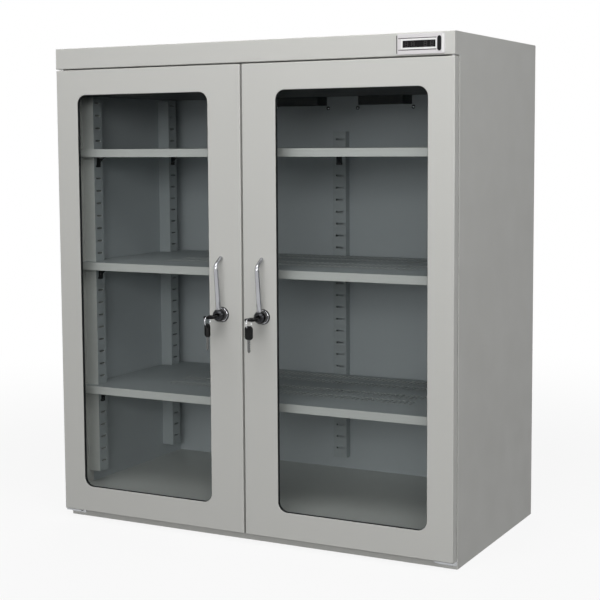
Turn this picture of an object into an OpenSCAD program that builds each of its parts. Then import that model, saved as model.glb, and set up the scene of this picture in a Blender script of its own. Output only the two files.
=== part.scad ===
/* [Cabinet] */
// Width over the side panels
cab_w = 900; // [840:10:1000]
// Height from the floor to the top cover
cab_h = 1010; // [980:10:1100]
// Depth from the door fronts to the back
cab_d = 470; // [450:10:520]
// Thickness of the sheet steel
sheet_t = 1.2; // [1:0.1:1.5]
// Height of the header above the doors
header_h = 43; // [41:1:50]
// Height of the sealed box above the inner ceiling
top_box_h = 97; // [90:1:120]
// Height of the inner floor above the ground
floor_h = 56; // [50:1:70]

/* [Frame] */
// Width of the side panels' front flanges
jamb_w = 30; // [26:1:30]
// Depth of the folded edge behind each front flange
jamb_return = 12; // [8:1:16]
// Width of the side panels' rear flanges
rear_flange_w = 15; // [10:1:25]
// Depth of the sill and lintel channels
channel_d = 22; // [18:1:28]
// Width of the centre post
post_w = 56; // [48:2:60]
// Depth of the centre post
post_d = 30; // [26:1:36]
// Height of the bottom pan's side flanges
pan_h = 20; // [14:1:30]
// Height of the folded edges of the inner floor and ceiling
fold_h = 16; // [10:1:20]

/* [Doors] */
// Thickness of each door
door_t = 20; // [18:0.5:24]
// Gap between the header and the doors
head_gap = 2.6; // [2.2:0.1:4]
// Height of the doors' lower edge above the ground
door_lift = 18.5; // [17.5:0.5:24]
// Gap between the two doors
centre_gap = 4.4; // [3:0.2:6]
// Gap between the back of a door and the frame
seal_gap = 5; // [4:0.5:7]
// Door margin beside the window, hinge side
hinge_margin = 53; // [46:1:70]
// Door margin beside the window, lock side
lock_margin = 75; // [66:1:95]
// Door margin above the window
top_margin = 52.5; // [45:0.5:70]
// Door margin below the window
bottom_margin = 54.5; // [45:0.5:70]
// Radius of the window corners
window_r = 20; // [12:1:30]
// Width of the folded edge round the back of the door
hem_w = 10; // [6:1:10]
// Thickness of the glass
glass_t = 4; // [3:0.5:5]
// Overlap of the glass behind the window edge
glass_lap = 8; // [6:0.5:9]
// Width of the seal that shows inside the window edge
seal_lip = 1.5; // [1:0.1:3]
// Rubber in front of and behind the glass
seal_t = 1.5; // [1:0.1:2.5]
// Rubber beyond the edge of the glass
seal_edge = 3; // [2:0.5:4]
// Width of the magnetic gasket
gasket_w = 12; // [8:1:14]
// Distance of the gasket from the door's edges
gasket_inset = 8; // [7.8:0.1:9]

/* [Hinges] */
// Distance of the pivot from the door's side edge
pivot_inset = 8; // [8:0.1:8.5]
// Distance of the pivot in front of the door's back
pivot_set = 8; // [7.6:0.1:8.2]
// Radius of the hinge pins
pin_r = 4; // [3:0.5:4]
// Outer radius of the hinge bushes
bush_r = 6.3; // [5.8:0.1:6.4]
// Length of the hinge bushes inside the door
bush_l = 18; // [12:1:26]
// Thickness of the bush flanges
bush_flange_t = 0.9; // [0.6:0.1:1]
// Thickness of the hinge plates
hinge_t = 3; // [2:0.5:4]
// Length of the lower hinge plates
hinge_l = 38; // [30:1:46]
// Height of the lower hinge's screw leg
hinge_leg_h = 10; // [8:1:14]

/* [Locks] */
// Distance of the lock from the door's free edge
lock_inset = 44.8; // [40:0.2:50]
// Height of the lock above the ground
lock_h = 465; // [400:5:520]
// Radius of the lock rosette
rosette_r = 17; // [15:0.5:20]
// Thickness of the lock rosette
rosette_t = 3.5; // [2.5:0.5:5]
// Outer radius of the lock sleeve through the door
sleeve_r = 11; // [10.2:0.1:12]
// Radius of the handle's spindle
spindle_r = 8; // [7:0.2:8.4]
// Length of the spindle's square end
square_l = 6; // [5.4:0.2:8]
// Radius of the handle's knob
knob_r = 13.5; // [12:0.5:15]
// Radius of the knob's front face
knob_face_r = 9.5; // [9:0.25:11]
// Length of the knob
knob_l = 21; // [19:0.5:24]
// Height of the handle's tip above the lock
lever_l = 115; // [100:1:130]
// Radius of the handle's bar
bar_r = 4.2; // [3:0.2:5]
// Stand-off of the bar from the door at its outer bend
bar_reach = 25; // [23:1:32]
// Length of the latch tongue from the lock's axis
tongue_l = 27; // [24:1:30]
// Width of the latch tongue
tongue_w = 14; // [10:1:16]
// Thickness of the latch tongue
tongue_t = 2.5; // [2:0.25:3]
// Radius of the lock plug
plug_r = 7; // [6.8:0.1:7.4]
// Length of the lock plug
plug_l = 19.5; // [18:0.5:20]

/* [Keys] */
// Width of the key blade
blade_w = 8; // [6:0.25:8.5]
// Thickness of the key blade
blade_t = 2; // [1.6:0.1:2.4]
// Length of the key blade inside the plug
blade_l = 16.5; // [12:0.5:16.5]
// Width of the key's grip
bow_w = 20; // [16:0.5:24]
// Length of the key's grip
bow_l = 25; // [22:0.5:30]
// Thickness of the key's grip
bow_t = 3; // [2.6:0.1:3.2]
// Distance of the key grip's end from the door front
key_reach = 60; // [58:0.5:66]
// Mean radius of the key ring
ring_r = 9.8; // [9.4:0.1:11]
// Radius of the key ring's wire
wire_r = 0.8; // [0.5:0.1:0.8]
// Length of the spare key's grip
spare_bow_l = 27; // [22:0.5:32]
// Width of the spare key's grip
spare_bow_w = 18; // [14:0.5:22]
// Length of the spare key's blade
spare_blade_l = 25; // [20:0.5:32]

/* [Uprights] */
// Depth of the side uprights from the wall
upright_depth = 28.8; // [28:0.2:32]
// Width of the side uprights
upright_w = 32; // [28:1:36]
// Depth of the rear centre upright from the back panel
rear_upright_depth = 20; // [18:0.5:24]
// Distance of the front uprights from the door fronts
front_upright_set = 88; // [84:1:100]
// Distance of the rear side uprights from the back
rear_upright_set = 49; // [46:1:60]
// Height of the slots above one another
slot_pitch = 27.3; // [26:0.1:28]
// Length of each slot
slot_l = 18; // [16:0.5:20]
// Height of each slot
slot_h = 4; // [3.4:0.1:5]
// Distance of the first slot below the inner ceiling
first_slot = 15; // [12:0.5:18]
// Height of the uprights' lower ends above the inner floor
upright_lift = 28; // [10:1:40]
// Distance of the side uprights' upper ends below the ceiling
upright_drop = 4; // [2:0.5:8]
// Distance of the rear centre upright's upper end below the ceiling
centre_drop = 79; // [60:1:90]

/* [Shelves] */
// Distance of the shelf fronts from the door fronts
shelf_set = 66; // [60:1:72]
// Height of the shelves' folded edges
lip_h = 17; // [14:0.5:22]
// Width of the shelf's turned-in lower front edge
shelf_hem = 9; // [5:0.5:12]
// Gap between the shelves and the side walls
shelf_gap = 2.8; // [2:0.2:5]
// Height of a shelf's top above the slot that carries it
shelf_rise = 9.4; // [8:0.2:11]
// Slots from the top slot down to the top shelf's slot
top_shelf_slots = 4; // [3:1:5]
// Slots from the top shelf down to the middle shelf
middle_shelf_slots = 9; // [7:1:9]
// Slots from the middle shelf down to the lower shelf
lower_shelf_slots = 10; // [8:1:10]
// Length of the vent slots in the shelves
vent_l = 34; // [20:1:40]
// Width of the vent slots in the shelves
vent_w = 5; // [4:0.5:6]
// Distance between neighbouring vent slots
vent_pitch = 12; // [10:0.5:16]
// Plain width of the shelf at each end of the vent rows
vent_margin = 155; // [100:5:200]
// Distance of the first vent row from the door fronts
first_vent = 188; // [160:1:200]
// Distance between the two rows of a vent pair
vent_row_pitch = 62; // [50:1:70]
// Distance between the two pairs of vent rows
vent_pair_pitch = 160; // [150:1:165]
// Width of the shelf clips
clip_w = 14; // [10:0.5:16]
// Thickness of the shelf clips
clip_t = 1.5; // [1:0.1:1.8]
// Length of the clip's seat under the shelf
clip_seat = 16; // [12:0.5:20]
// Height of the clip's gusset below its seat
clip_gusset = 15; // [10:0.5:18]

/* [Dryers] */
// Width of each dryer cover at the wall
dryer_w = 130; // [100:1:140]
// Depth of each dryer cover
dryer_d = 28; // [20:1:34]
// Height of each dryer cover below the ceiling
dryer_h = 20; // [14:0.5:26]
// Inward slope of a dryer cover's sides
dryer_draft = 11; // [4:0.5:16]
// Distance of each dryer cover's centre from the middle
dryer_x = 105; // [85:1:130]
// Height of each drying unit above the inner ceiling
unit_h = 72; // [60:1:80]
// Depth of each drying unit
unit_d = 95; // [70:1:110]
// Radius of the round louvred sensor cap
sensor_r = 9; // [7:0.5:12]
// Length of the sensor cap below the ceiling
sensor_h = 13; // [10:0.5:18]
// Distance of the sensor cap from the door fronts
sensor_set = 110; // [80:1:140]

/* [Display] */
// Width of the display bezel
bezel_w = 94; // [90:0.5:110]
// Height of the display bezel
bezel_h = 37; // [34:0.5:38]
// Distance of the bezel from the cabinet's right side
bezel_inset = 19.5; // [14:0.5:60]
// Thickness of the bezel in front of the header
bezel_t = 2; // [1.5:0.1:3]
// Width of the display window
display_w = 65.3; // [58:0.5:67]
// Height of the display window
display_h = 13; // [10:0.5:16]
// Distance of the display window from the bezel's left edge
display_inset = 10.8; // [8:0.2:14]
// Width of the set key
key_w = 7.4; // [5:0.2:8]
// Height of the set key
key_h = 27; // [20:0.5:29]
// Distance of the set key's centre from the bezel's right edge
key_inset = 10.6; // [8:0.2:12]
// Travel of the set key
key_travel = 0.8; // [0.4:0.1:0.8]
// Distance of the display board behind the header face
board_set = 6; // [5.6:0.1:8]

/* [Back] */
// Width of the power inlet
inlet_w = 28; // [27:0.5:32]
// Height of the power inlet
inlet_h = 20.5; // [20:0.25:24]
// Depth of the power inlet inside the back
inlet_d = 24; // [21:0.5:30]
// Distance of the power inlet from the cabinet's right side
inlet_inset = 70; // [50:1:120]
// Width of the rear vent plates
plate_w = 130; // [110:1:150]
// Height of the rear vent plates
plate_h = 70; // [56:1:76]
// Height of the louvre slots
louvre_h = 3; // [2:0.2:4]
// Distance between the louvre slots
louvre_pitch = 8; // [7:0.5:10]

/* [Hidden] */

// Colours
paint = [0.76, 0.76, 0.73];
inner_paint = [0.72, 0.73, 0.71];
black = [0.06, 0.06, 0.07];
rubber = [0.1, 0.1, 0.1];
tint = [0.35, 0.38, 0.38, 0.4];
chrome = [0.55, 0.56, 0.58];
steel = [0.62, 0.63, 0.64];
silver = [0.86, 0.87, 0.87];
board_green = [0.1, 0.3, 0.16];
nylon = [0.85, 0.84, 0.8];

// Overrun of cuts past the faces they open
overrun = 1;
// Radial running clearance of pins, spindles and plugs
running = 0.06;
// Gap between rigid pieces that move past each other
clear_gap = 0.3;
// Number of facets on round parts
fine = 64;
// Number of facets on small round parts
small = 32;

// Main planes
front_y = -cab_d / 2;
back_y = cab_d / 2;
door_back_y = front_y + door_t;
frame_y = door_back_y + seal_gap;
fascia_back_y = front_y + sheet_t;
skin_x = cab_w / 2 - sheet_t;
jamb_x = cab_w / 2 - jamb_w;
cover_z = cab_h - sheet_t;
header_z = cab_h - header_h;
ceiling_z = cab_h - top_box_h;
floor_z = floor_h;
flange_y = back_y - sheet_t;
wall_y = flange_y - sheet_t;

// Door outline
door_x0 = centre_gap / 2;
door_x1 = cab_w / 2;
door_z0 = door_lift;
door_z1 = header_z - head_gap;
window_x0 = door_x0 + lock_margin;
window_x1 = door_x1 - hinge_margin;
window_z0 = door_z0 + bottom_margin;
window_z1 = door_z1 - top_margin;
pivot_x = door_x1 - pivot_inset;
pivot_y = door_back_y - pivot_set;
bush_clear = 0.1;
bush_flange_w = 1.5;

// Glass, its seal and the liner's collar
glass_y = fascia_back_y + seal_t;
seal_back_y = glass_y + glass_t + seal_t;
seal_out = glass_lap + seal_edge;

// Uprights and shelves
web_x = skin_x - upright_depth;
rear_web_y = wall_y - rear_upright_depth;
top_slot_z = ceiling_z - first_slot;
upright_z0 = floor_z + upright_lift;
upright_z1 = ceiling_z - upright_drop;
front_upright_y = front_y + front_upright_set;
rear_upright_y = back_y - rear_upright_set - upright_w;
shelf_y0 = front_y + shelf_set;
shelf_y1 = rear_web_y - clip_t - clear_gap;
shelf_x = skin_x - shelf_gap;
notch_x = web_x - clip_t - clear_gap;
notch_gap = 2;
top_shelf_z = top_slot_z - top_shelf_slots * slot_pitch + shelf_rise;
middle_shelf_z = top_shelf_z - middle_shelf_slots * slot_pitch;
lower_shelf_z = middle_shelf_z - lower_shelf_slots * slot_pitch;
hook_w = 12;
hook_h = 3;
hook_l = 3.5;
gusset_w = 3;

// Locks
lock_x = door_x0 + lock_inset;
knob_back_y = front_y - rosette_t - clear_gap;
knob_front_y = knob_back_y - knob_l;
nut_h = 3.5;
nut_r = 15;
nut_sides = 6;
sleeve_end_y = door_back_y + nut_h;
latch_gap = 1.2;
tongue_y = frame_y + sheet_t + latch_gap;
spindle_end_y = tongue_y;
square_w = 10;
tongue_hub_r = 9;
latch_nut_h = 3;
latch_nut_r = 8;
post_slot_gap = 1;
// Depth below the lock's axis to which the turning tongue sweeps inside the post
tongue_sweep = sqrt(pow(tongue_l, 2) + pow(tongue_w / 2, 2) - pow(lock_x - post_w / 2, 2));
plug_proud = 1;
plug_back_y = knob_front_y - plug_proud + plug_l;

// Keys
bar_w = 2.6;
bow_hole_l = 11.5;
bow_hole_w = 5;
keyway_gap = 0.3;
key_tip_y = front_y - key_reach;
bar_y = key_tip_y + bar_w / 2;
ring_top_gap = 0.8;
ring_z = lock_h + bow_t / 2 + ring_top_gap + wire_r - ring_r;
ring_bottom_z = ring_z - ring_r;
spare_bar = 2.4;
spare_hole_r = 2.6;
spare_t = 2.8;
bow_corner = 5;

// Display
bezel_x1 = cab_w / 2 - bezel_inset;
bezel_x0 = bezel_x1 - bezel_w;
bezel_z = header_z + header_h / 2;
display_x0 = bezel_x0 + display_inset;
display_x1 = display_x0 + display_w;
set_key_x = bezel_x1 - key_inset;
lens_flange = 2;
lens_back = 1.5;
key_flange = 1;
key_proud = 1;
board_t = 1.6;
board_y = front_y + board_set;

// A box between two opposite corners
module block(lo, hi) {
  translate(lo) cube(hi - lo);
}

// A flat outline with round corners, between two opposite corners
module round_outline(lo, hi, r) {
  translate([lo.x + r, lo.y]) square([hi.x - lo.x - 2 * r, hi.y - lo.y]);
  translate([lo.x, lo.y + r]) square([hi.x - lo.x, hi.y - lo.y - 2 * r]);
  for (x = [lo.x + r, hi.x - r])
    for (y = [lo.y + r, hi.y - r])
      translate([x, y]) circle(r = r, $fn = fine);
}

// A plate with round corners, upright and facing the front, from y0 to y1
module front_plate(lo, hi, r, y0, y1) {
  translate([0, y1, 0]) rotate([90, 0, 0]) linear_extrude(y1 - y0) round_outline(lo, hi, r);
}

// An upright plate with half-round ends, facing the front, from y0 to y1
module pill_plate(x, z, w, h, y0, y1) {
  translate([x, y1, z]) rotate([90, 0, 0]) linear_extrude(y1 - y0) union() {
    translate([-w / 2, (w - h) / 2]) square([w, h - w]);
    for (end = [-1, 1])
      translate([0, end * (h - w) / 2]) circle(r = w / 2, $fn = fine);
  }
}

// A plate with the window's outline, grown by g on every side
module window_plate(g, y0, y1) {
  front_plate([window_x0 - g, window_z0 - g], [window_x1 + g, window_z1 + g], window_r + g, y0, y1);
}

// A shaft along Y between two planes
module shaft(r, y0, y1, sides = fine) {
  translate([0, y1, 0]) rotate([90, 0, 0]) cylinder(r = r, h = y1 - y0, $fn = sides);
}

// An outline in Y and Z, given a thickness from x0 to x1
module side_plate(points, x0, x1) {
  translate([x0, 0, 0]) rotate([90, 0, 90]) linear_extrude(x1 - x0) polygon(points);
}

// The pieces of the left door, as the right door's in a mirror
module left_hand() {
  mirror([1, 0, 0]) children();
}

module top_cover() {
  color(paint) difference() {
    union() {
      block([-cab_w / 2, front_y, cover_z], [cab_w / 2, back_y, cab_h]);
      block([-cab_w / 2, front_y, header_z], [cab_w / 2, fascia_back_y, cab_h]);
      block([-skin_x, front_y, header_z], [skin_x, frame_y + channel_d, header_z + sheet_t]);
    }
    block([display_x0 - lens_flange - overrun, front_y - overrun, bezel_z - key_h / 2 - overrun],
      [set_key_x + key_w / 2 + key_flange + overrun, fascia_back_y + overrun,
        bezel_z + key_h / 2 + overrun]);
    for (side = [-1, 1])
      translate([side * pivot_x, pivot_y, header_z - overrun])
        cylinder(r = pin_r + bush_clear, h = sheet_t + 2 * overrun, $fn = fine);
  }
}

module side_panel() {
  color(paint) union() {
    side_plate([[frame_y, 0], [back_y, 0], [back_y, cover_z], [fascia_back_y, cover_z],
      [fascia_back_y, header_z], [frame_y, header_z]], skin_x, cab_w / 2);
    block([jamb_x, frame_y, 0], [cab_w / 2, frame_y + sheet_t, header_z]);
    block([jamb_x, frame_y, 0], [jamb_x + sheet_t, frame_y + jamb_return, header_z]);
    block([cab_w / 2 - rear_flange_w, flange_y, 0], [cab_w / 2, back_y, cover_z]);
  }
}

module left_side_panel() {
  left_hand() side_panel();
}

module right_side_panel() {
  side_panel();
}

module vent_window(side, inset) {
  block([side * dryer_x - plate_w / 2 + inset, wall_y - overrun, vent_z0 + inset],
    [side * dryer_x + plate_w / 2 - inset, back_y + overrun, vent_z0 + plate_h - inset]);
}

vent_z0 = ceiling_z + (top_box_h - plate_h) / 2;
vent_inset = 14;
inlet_x = cab_w / 2 - inlet_inset;
inlet_z = ceiling_z + top_box_h / 2;
inlet_clear = 0.2;

module back_panel() {
  color(paint) difference() {
    block([-skin_x, wall_y, 0], [skin_x, flange_y, cover_z]);
    for (side = [-1, 1])
      vent_window(side, vent_inset);
    block([inlet_x - inlet_w / 2 - inlet_clear, wall_y - overrun, inlet_z - inlet_h / 2 - inlet_clear],
      [inlet_x + inlet_w / 2 + inlet_clear, back_y, inlet_z + inlet_h / 2 + inlet_clear]);
  }
}

module bottom_pan() {
  color(paint) union() {
    block([-skin_x, frame_y + channel_d, 0], [skin_x, wall_y, sheet_t]);
    for (side = [-1, 1])
      block([side < 0 ? -skin_x : skin_x - sheet_t, frame_y + channel_d, 0],
        [side < 0 ? sheet_t - skin_x : skin_x, wall_y, pan_h]);
    block([-skin_x, wall_y - sheet_t, 0], [skin_x, wall_y, pan_h]);
  }
}

// A channel along X that opens to the back
module front_channel(z0, z1) {
  block([-jamb_x, frame_y, z0], [jamb_x, frame_y + sheet_t, z1]);
  block([-jamb_x, frame_y, z0], [jamb_x, frame_y + channel_d, z0 + sheet_t]);
  block([-jamb_x, frame_y, z1 - sheet_t], [jamb_x, frame_y + channel_d, z1]);
}

module front_sill() {
  color(paint) front_channel(0, floor_z - sheet_t);
}

module front_lintel() {
  color(paint) front_channel(ceiling_z + sheet_t, header_z);
}

module centre_post() {
  color(paint) difference() {
    block([-post_w / 2, frame_y, floor_z], [post_w / 2, frame_y + post_d, ceiling_z]);
    block([-post_w / 2 + sheet_t, frame_y + sheet_t, floor_z - overrun],
      [post_w / 2 - sheet_t, frame_y + post_d - sheet_t, ceiling_z + overrun]);
    block([-post_w / 2 - overrun, tongue_y - post_slot_gap, lock_h - tongue_sweep - post_slot_gap],
      [post_w / 2 + overrun, tongue_y + tongue_t + post_slot_gap, lock_h + tongue_w / 2 + post_slot_gap]);
  }
}

// A sheet across the inside, cut back at the front flanges, with its edges folded
module inner_sheet(z, fold_up) {
  z0 = fold_up ? z : z - sheet_t;
  edge_z0 = fold_up ? z : z - fold_h;
  inside_y = frame_y + jamb_return;
  block([-jamb_x, frame_y, z0], [jamb_x, wall_y, z0 + sheet_t]);
  block([-skin_x, inside_y, z0], [skin_x, wall_y, z0 + sheet_t]);
  for (x = [-skin_x, skin_x - sheet_t])
    block([x, inside_y, edge_z0], [x + sheet_t, wall_y, edge_z0 + fold_h]);
  block([-skin_x, wall_y - sheet_t, edge_z0], [skin_x, wall_y, edge_z0 + fold_h]);
}

module inner_floor() {
  color(inner_paint) inner_sheet(floor_z, false);
}

module inner_ceiling() {
  color(inner_paint) inner_sheet(ceiling_z, true);
}

// Slots down a web, from the first slot to the last that clears the end
module slot_cuts(z0, z1) {
  for (z = [top_slot_z : -slot_pitch : z0 + slot_h])
    if (z < z1 - slot_h)
      slot_cut(z);
}

// One slot through a web, across Y
module slot_cut(z) {
  block([-overrun, -slot_l / 2, z - slot_h / 2], [sheet_t + overrun, slot_l / 2, z + slot_h / 2]);
}

// A slotted channel whose web faces -X at x = 0, between two heights
module slotted_channel(depth, width, z0, z1) {
  difference() {
    block([0, -width / 2, z0], [depth, width / 2, z1]);
    block([sheet_t, sheet_t - width / 2, z0 - overrun],
      [depth + overrun, width / 2 - sheet_t, z1 + overrun]);
    slot_cuts(z0, z1);
  }
}

// A side upright on the right wall, with its front edge at y
module side_upright(y) {
  color(inner_paint) translate([web_x, y + upright_w / 2, 0])
    slotted_channel(upright_depth, upright_w, upright_z0, upright_z1);
}

module front_left_upright() {
  left_hand() side_upright(front_upright_y);
}

module front_right_upright() {
  side_upright(front_upright_y);
}

module rear_left_upright() {
  left_hand() side_upright(rear_upright_y);
}

module rear_right_upright() {
  side_upright(rear_upright_y);
}

module rear_centre_upright() {
  color(inner_paint) translate([0, rear_web_y, 0]) rotate([0, 0, 90])
    slotted_channel(rear_upright_depth, upright_w, upright_z0, ceiling_z - centre_drop);
}

// Y positions of the shelf's vent rows
vent_rows = [for (pair = [0, 1]) for (row = [0, 1])
  front_y + first_vent + pair * vent_pair_pitch + row * vent_row_pitch];
vent_count = floor((2 * shelf_x - 2 * vent_margin) / vent_pitch) + 1;
vent_x0 = -(vent_count - 1) * vent_pitch / 2;

// Outline of a shelf, notched round the side uprights
module shelf_outline() {
  difference() {
    translate([-shelf_x, shelf_y0]) square([2 * shelf_x, shelf_y1 - shelf_y0]);
    for (side = [-1, 1])
      for (y = [front_upright_y, rear_upright_y])
        translate([side < 0 ? -shelf_x - overrun : notch_x, y - notch_gap])
          square([shelf_x - notch_x + overrun, upright_w + 2 * notch_gap]);
  }
}

module shelf(z) {
  front_notch_y = front_upright_y - notch_gap;
  between_y0 = front_upright_y + upright_w + notch_gap;
  between_y1 = rear_upright_y - notch_gap;
  rear_notch_y = rear_upright_y + upright_w + notch_gap;
  color(inner_paint) union() {
    translate([0, 0, z - sheet_t]) linear_extrude(sheet_t) difference() {
      shelf_outline();
      for (y = vent_rows)
        for (i = [0 : vent_count - 1])
          translate([vent_x0 + i * vent_pitch - vent_w / 2, y - vent_l / 2]) square([vent_w, vent_l]);
    }
    block([-shelf_x, shelf_y0, z - lip_h], [shelf_x, shelf_y0 + sheet_t, z]);
    block([-shelf_x, shelf_y0, z - lip_h], [shelf_x, shelf_y0 + shelf_hem, z - lip_h + sheet_t]);
    block([-shelf_x, shelf_y1 - sheet_t, z - lip_h], [shelf_x, shelf_y1, z]);
    for (side = [0, 1]) mirror([side, 0, 0]) {
      block([shelf_x - sheet_t, shelf_y0, z - lip_h], [shelf_x, front_notch_y, z]);
      block([shelf_x - sheet_t, between_y0, z - lip_h], [shelf_x, between_y1, z]);
      block([shelf_x - sheet_t, rear_notch_y, z - lip_h], [shelf_x, shelf_y1, z]);
      for (y = [front_notch_y, rear_upright_y - notch_gap])
        block([notch_x - sheet_t, y - sheet_t, z - lip_h],
          [notch_x, y + upright_w + 2 * notch_gap + sheet_t, z]);
      for (y = [front_notch_y - sheet_t, between_y0, between_y1 - sheet_t, rear_notch_y])
        block([notch_x - sheet_t, y, z - lip_h], [shelf_x, y + sheet_t, z]);
    }
  }
}

module top_shelf() {
  shelf(top_shelf_z);
}

module middle_shelf() {
  shelf(middle_shelf_z);
}

module lower_shelf() {
  shelf(lower_shelf_z);
}

// A clip on a web that faces -X at x = 0, under a shelf whose top is at z
module shelf_clip(z) {
  seat_z = z - lip_h;
  hook_z = z - shelf_rise;
  foot_z = hook_z - slot_pitch - hook_h;
  union() {
    block([-clip_t, -clip_w / 2, foot_z], [0, clip_w / 2, hook_z + hook_h]);
    block([-clip_seat, -clip_w / 2, seat_z - clip_t], [0, clip_w / 2, seat_z]);
    for (h = [hook_z, hook_z - slot_pitch]) {
      block([-clip_t, -hook_w / 2, h - hook_h / 2], [hook_l, hook_w / 2, h + hook_h / 2]);
      block([sheet_t + clear_gap, -hook_w / 2, h - slot_h], [hook_l, hook_w / 2, h + hook_h / 2]);
    }
    translate([0, gusset_w / 2, 0]) rotate([90, 0, 0]) linear_extrude(gusset_w)
      polygon([[0, seat_z], [-clip_seat, seat_z], [-clip_seat, seat_z - clip_t],
        [-clip_t, seat_z - clip_gusset], [0, seat_z - clip_gusset]]);
  }
}

module shelf_clips(z) {
  color(black) union() {
    for (y = [front_upright_y, rear_upright_y])
      for (side = [0, 1])
        mirror([side, 0, 0]) translate([web_x, y + upright_w / 2, 0]) shelf_clip(z);
    translate([0, rear_web_y, 0]) rotate([0, 0, 90]) shelf_clip(z);
  }
}

module top_shelf_clips() {
  shelf_clips(top_shelf_z);
}

module middle_shelf_clips() {
  shelf_clips(middle_shelf_z);
}

module lower_shelf_clips() {
  shelf_clips(lower_shelf_z);
}

dryer_wall = 2;
dryer_slot_h = 2;
dryer_slot_pitch = 5;
dryer_slot_margin = 18;

// A sloping-sided cover under the ceiling, on the back wall
module dryer_cover(x) {
  far = dryer_w / 2;
  near = dryer_w / 2 - dryer_draft;
  y0 = wall_y - dryer_d;
  difference() {
    translate([x, 0, ceiling_z - dryer_h]) linear_extrude(dryer_h)
      polygon([[-far, wall_y], [-near, y0], [near, y0], [far, wall_y]]);
    translate([x, 0, ceiling_z - dryer_h + dryer_wall]) linear_extrude(dryer_h)
      polygon([[dryer_wall - far, wall_y + overrun], [dryer_wall - near, y0 + dryer_wall],
        [near - dryer_wall, y0 + dryer_wall], [far - dryer_wall, wall_y + overrun]]);
    for (y = [y0 + dryer_slot_pitch : dryer_slot_pitch : wall_y - dryer_slot_pitch])
      block([x - near + dryer_slot_margin, y, ceiling_z - dryer_h - overrun],
        [x + near - dryer_slot_margin, y + dryer_slot_h, ceiling_z - dryer_h + dryer_wall + overrun]);
  }
}

module dryer_covers() {
  color(black) union() {
    for (side = [-1, 1])
      dryer_cover(side * dryer_x);
  }
}

screw_r = 2.5;
screw_head_h = 1.6;
screw_drop = 6;
screw_out = 3;

module cover_screws() {
  color(steel) union() {
    for (side = [-1, 1])
      for (end = [-1, 1])
        translate([side * dryer_x + end * (dryer_w / 2 + screw_out), 0, ceiling_z - dryer_h - screw_drop])
          shaft(screw_r, wall_y - screw_head_h, wall_y, small);
  }
}

unit_gap = 4;

module drying_units() {
  unit_x = plate_w / 2 - unit_gap;
  unit_y0 = wall_y - sheet_t - unit_d;
  unit_z0 = ceiling_z + sheet_t;
  color(steel) union() {
    for (side = [-1, 1])
      translate([side * dryer_x, 0, 0]) difference() {
        block([-unit_x, unit_y0, unit_z0], [unit_x, wall_y - sheet_t, unit_z0 + unit_h]);
        block([sheet_t - unit_x, unit_y0 + sheet_t, unit_z0 + sheet_t],
          [unit_x - sheet_t, wall_y + overrun, unit_z0 + unit_h - sheet_t]);
      }
  }
}

sensor_slot_share = 0.45;
sensor_slots = 6;
sensor_slot_w = 1.6;
sensor_wall = 1.4;

module humidity_sensor() {
  color(nylon) translate([0, front_y + sensor_set, 0]) difference() {
    translate([0, 0, ceiling_z - sensor_h]) cylinder(r = sensor_r, h = sensor_h, $fn = fine);
    translate([0, 0, ceiling_z - sensor_h + sensor_wall])
      cylinder(r = sensor_r - sensor_wall, h = sensor_h, $fn = fine);
    for (i = [0 : sensor_slots - 1])
      rotate([0, 0, i * 180 / sensor_slots])
        block([-sensor_r - overrun, -sensor_slot_w / 2, ceiling_z - sensor_h * (1 + sensor_slot_share) / 2],
          [sensor_r + overrun, sensor_slot_w / 2, ceiling_z - sensor_h * (1 - sensor_slot_share) / 2]);
  }
}

control_w = 120;
control_d = 80;
control_lift = 8;
control_x = cab_w / 5;
standoff_r = 3;
relay_h = 16;
relay_w = 20;
relay_pitch = 30;
board_edge = 12;
transformer_w = 45;
transformer_h = 36;

module control_board() {
  z0 = ceiling_z + sheet_t;
  y0 = frame_y + 2 * channel_d;
  color(board_green) translate([control_x, y0, 0]) union() {
    block([0, 0, z0 + control_lift], [control_w, control_d, z0 + control_lift + board_t]);
    for (x = [2 * standoff_r, control_w - 2 * standoff_r])
      for (y = [2 * standoff_r, control_d - 2 * standoff_r])
        translate([x, y, z0]) cylinder(r = standoff_r, h = control_lift, $fn = small);
    block([control_w - transformer_w - board_edge, board_edge, z0 + control_lift],
      [control_w - board_edge, board_edge + transformer_w, z0 + control_lift + transformer_h]);
    for (y = [board_edge, board_edge + relay_pitch])
      block([board_edge, y, z0 + control_lift],
        [board_edge + relay_w, y + relay_w, z0 + control_lift + relay_h]);
  }
}

recess_w = 24;
recess_h = 16.5;
recess_d = 18;
pin_w = 2;
pin_h = 4;
pin_l = 15;
pin_pitch = 7;
earth_rise = 4;
inlet_flange = 3;

module power_inlet() {
  color(black) translate([inlet_x, 0, inlet_z]) union() {
    difference() {
      union() {
        block([-inlet_w / 2, wall_y - inlet_d, -inlet_h / 2], [inlet_w / 2, back_y, inlet_h / 2]);
        block([-inlet_w / 2 - inlet_flange, flange_y, -inlet_h / 2 - inlet_flange],
          [inlet_w / 2 + inlet_flange, back_y, inlet_h / 2 + inlet_flange]);
      }
      block([-recess_w / 2, back_y - recess_d, -recess_h / 2],
        [recess_w / 2, back_y + overrun, recess_h / 2]);
    }
    for (i = [-1, 0, 1])
      block([i * pin_pitch - pin_w / 2, back_y - recess_d - overrun, (1 - abs(i)) * earth_rise - pin_h / 2],
        [i * pin_pitch + pin_w / 2, back_y - recess_d + pin_l, (1 - abs(i)) * earth_rise + pin_h / 2]);
  }
}

louvre_margin = 12;

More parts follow.
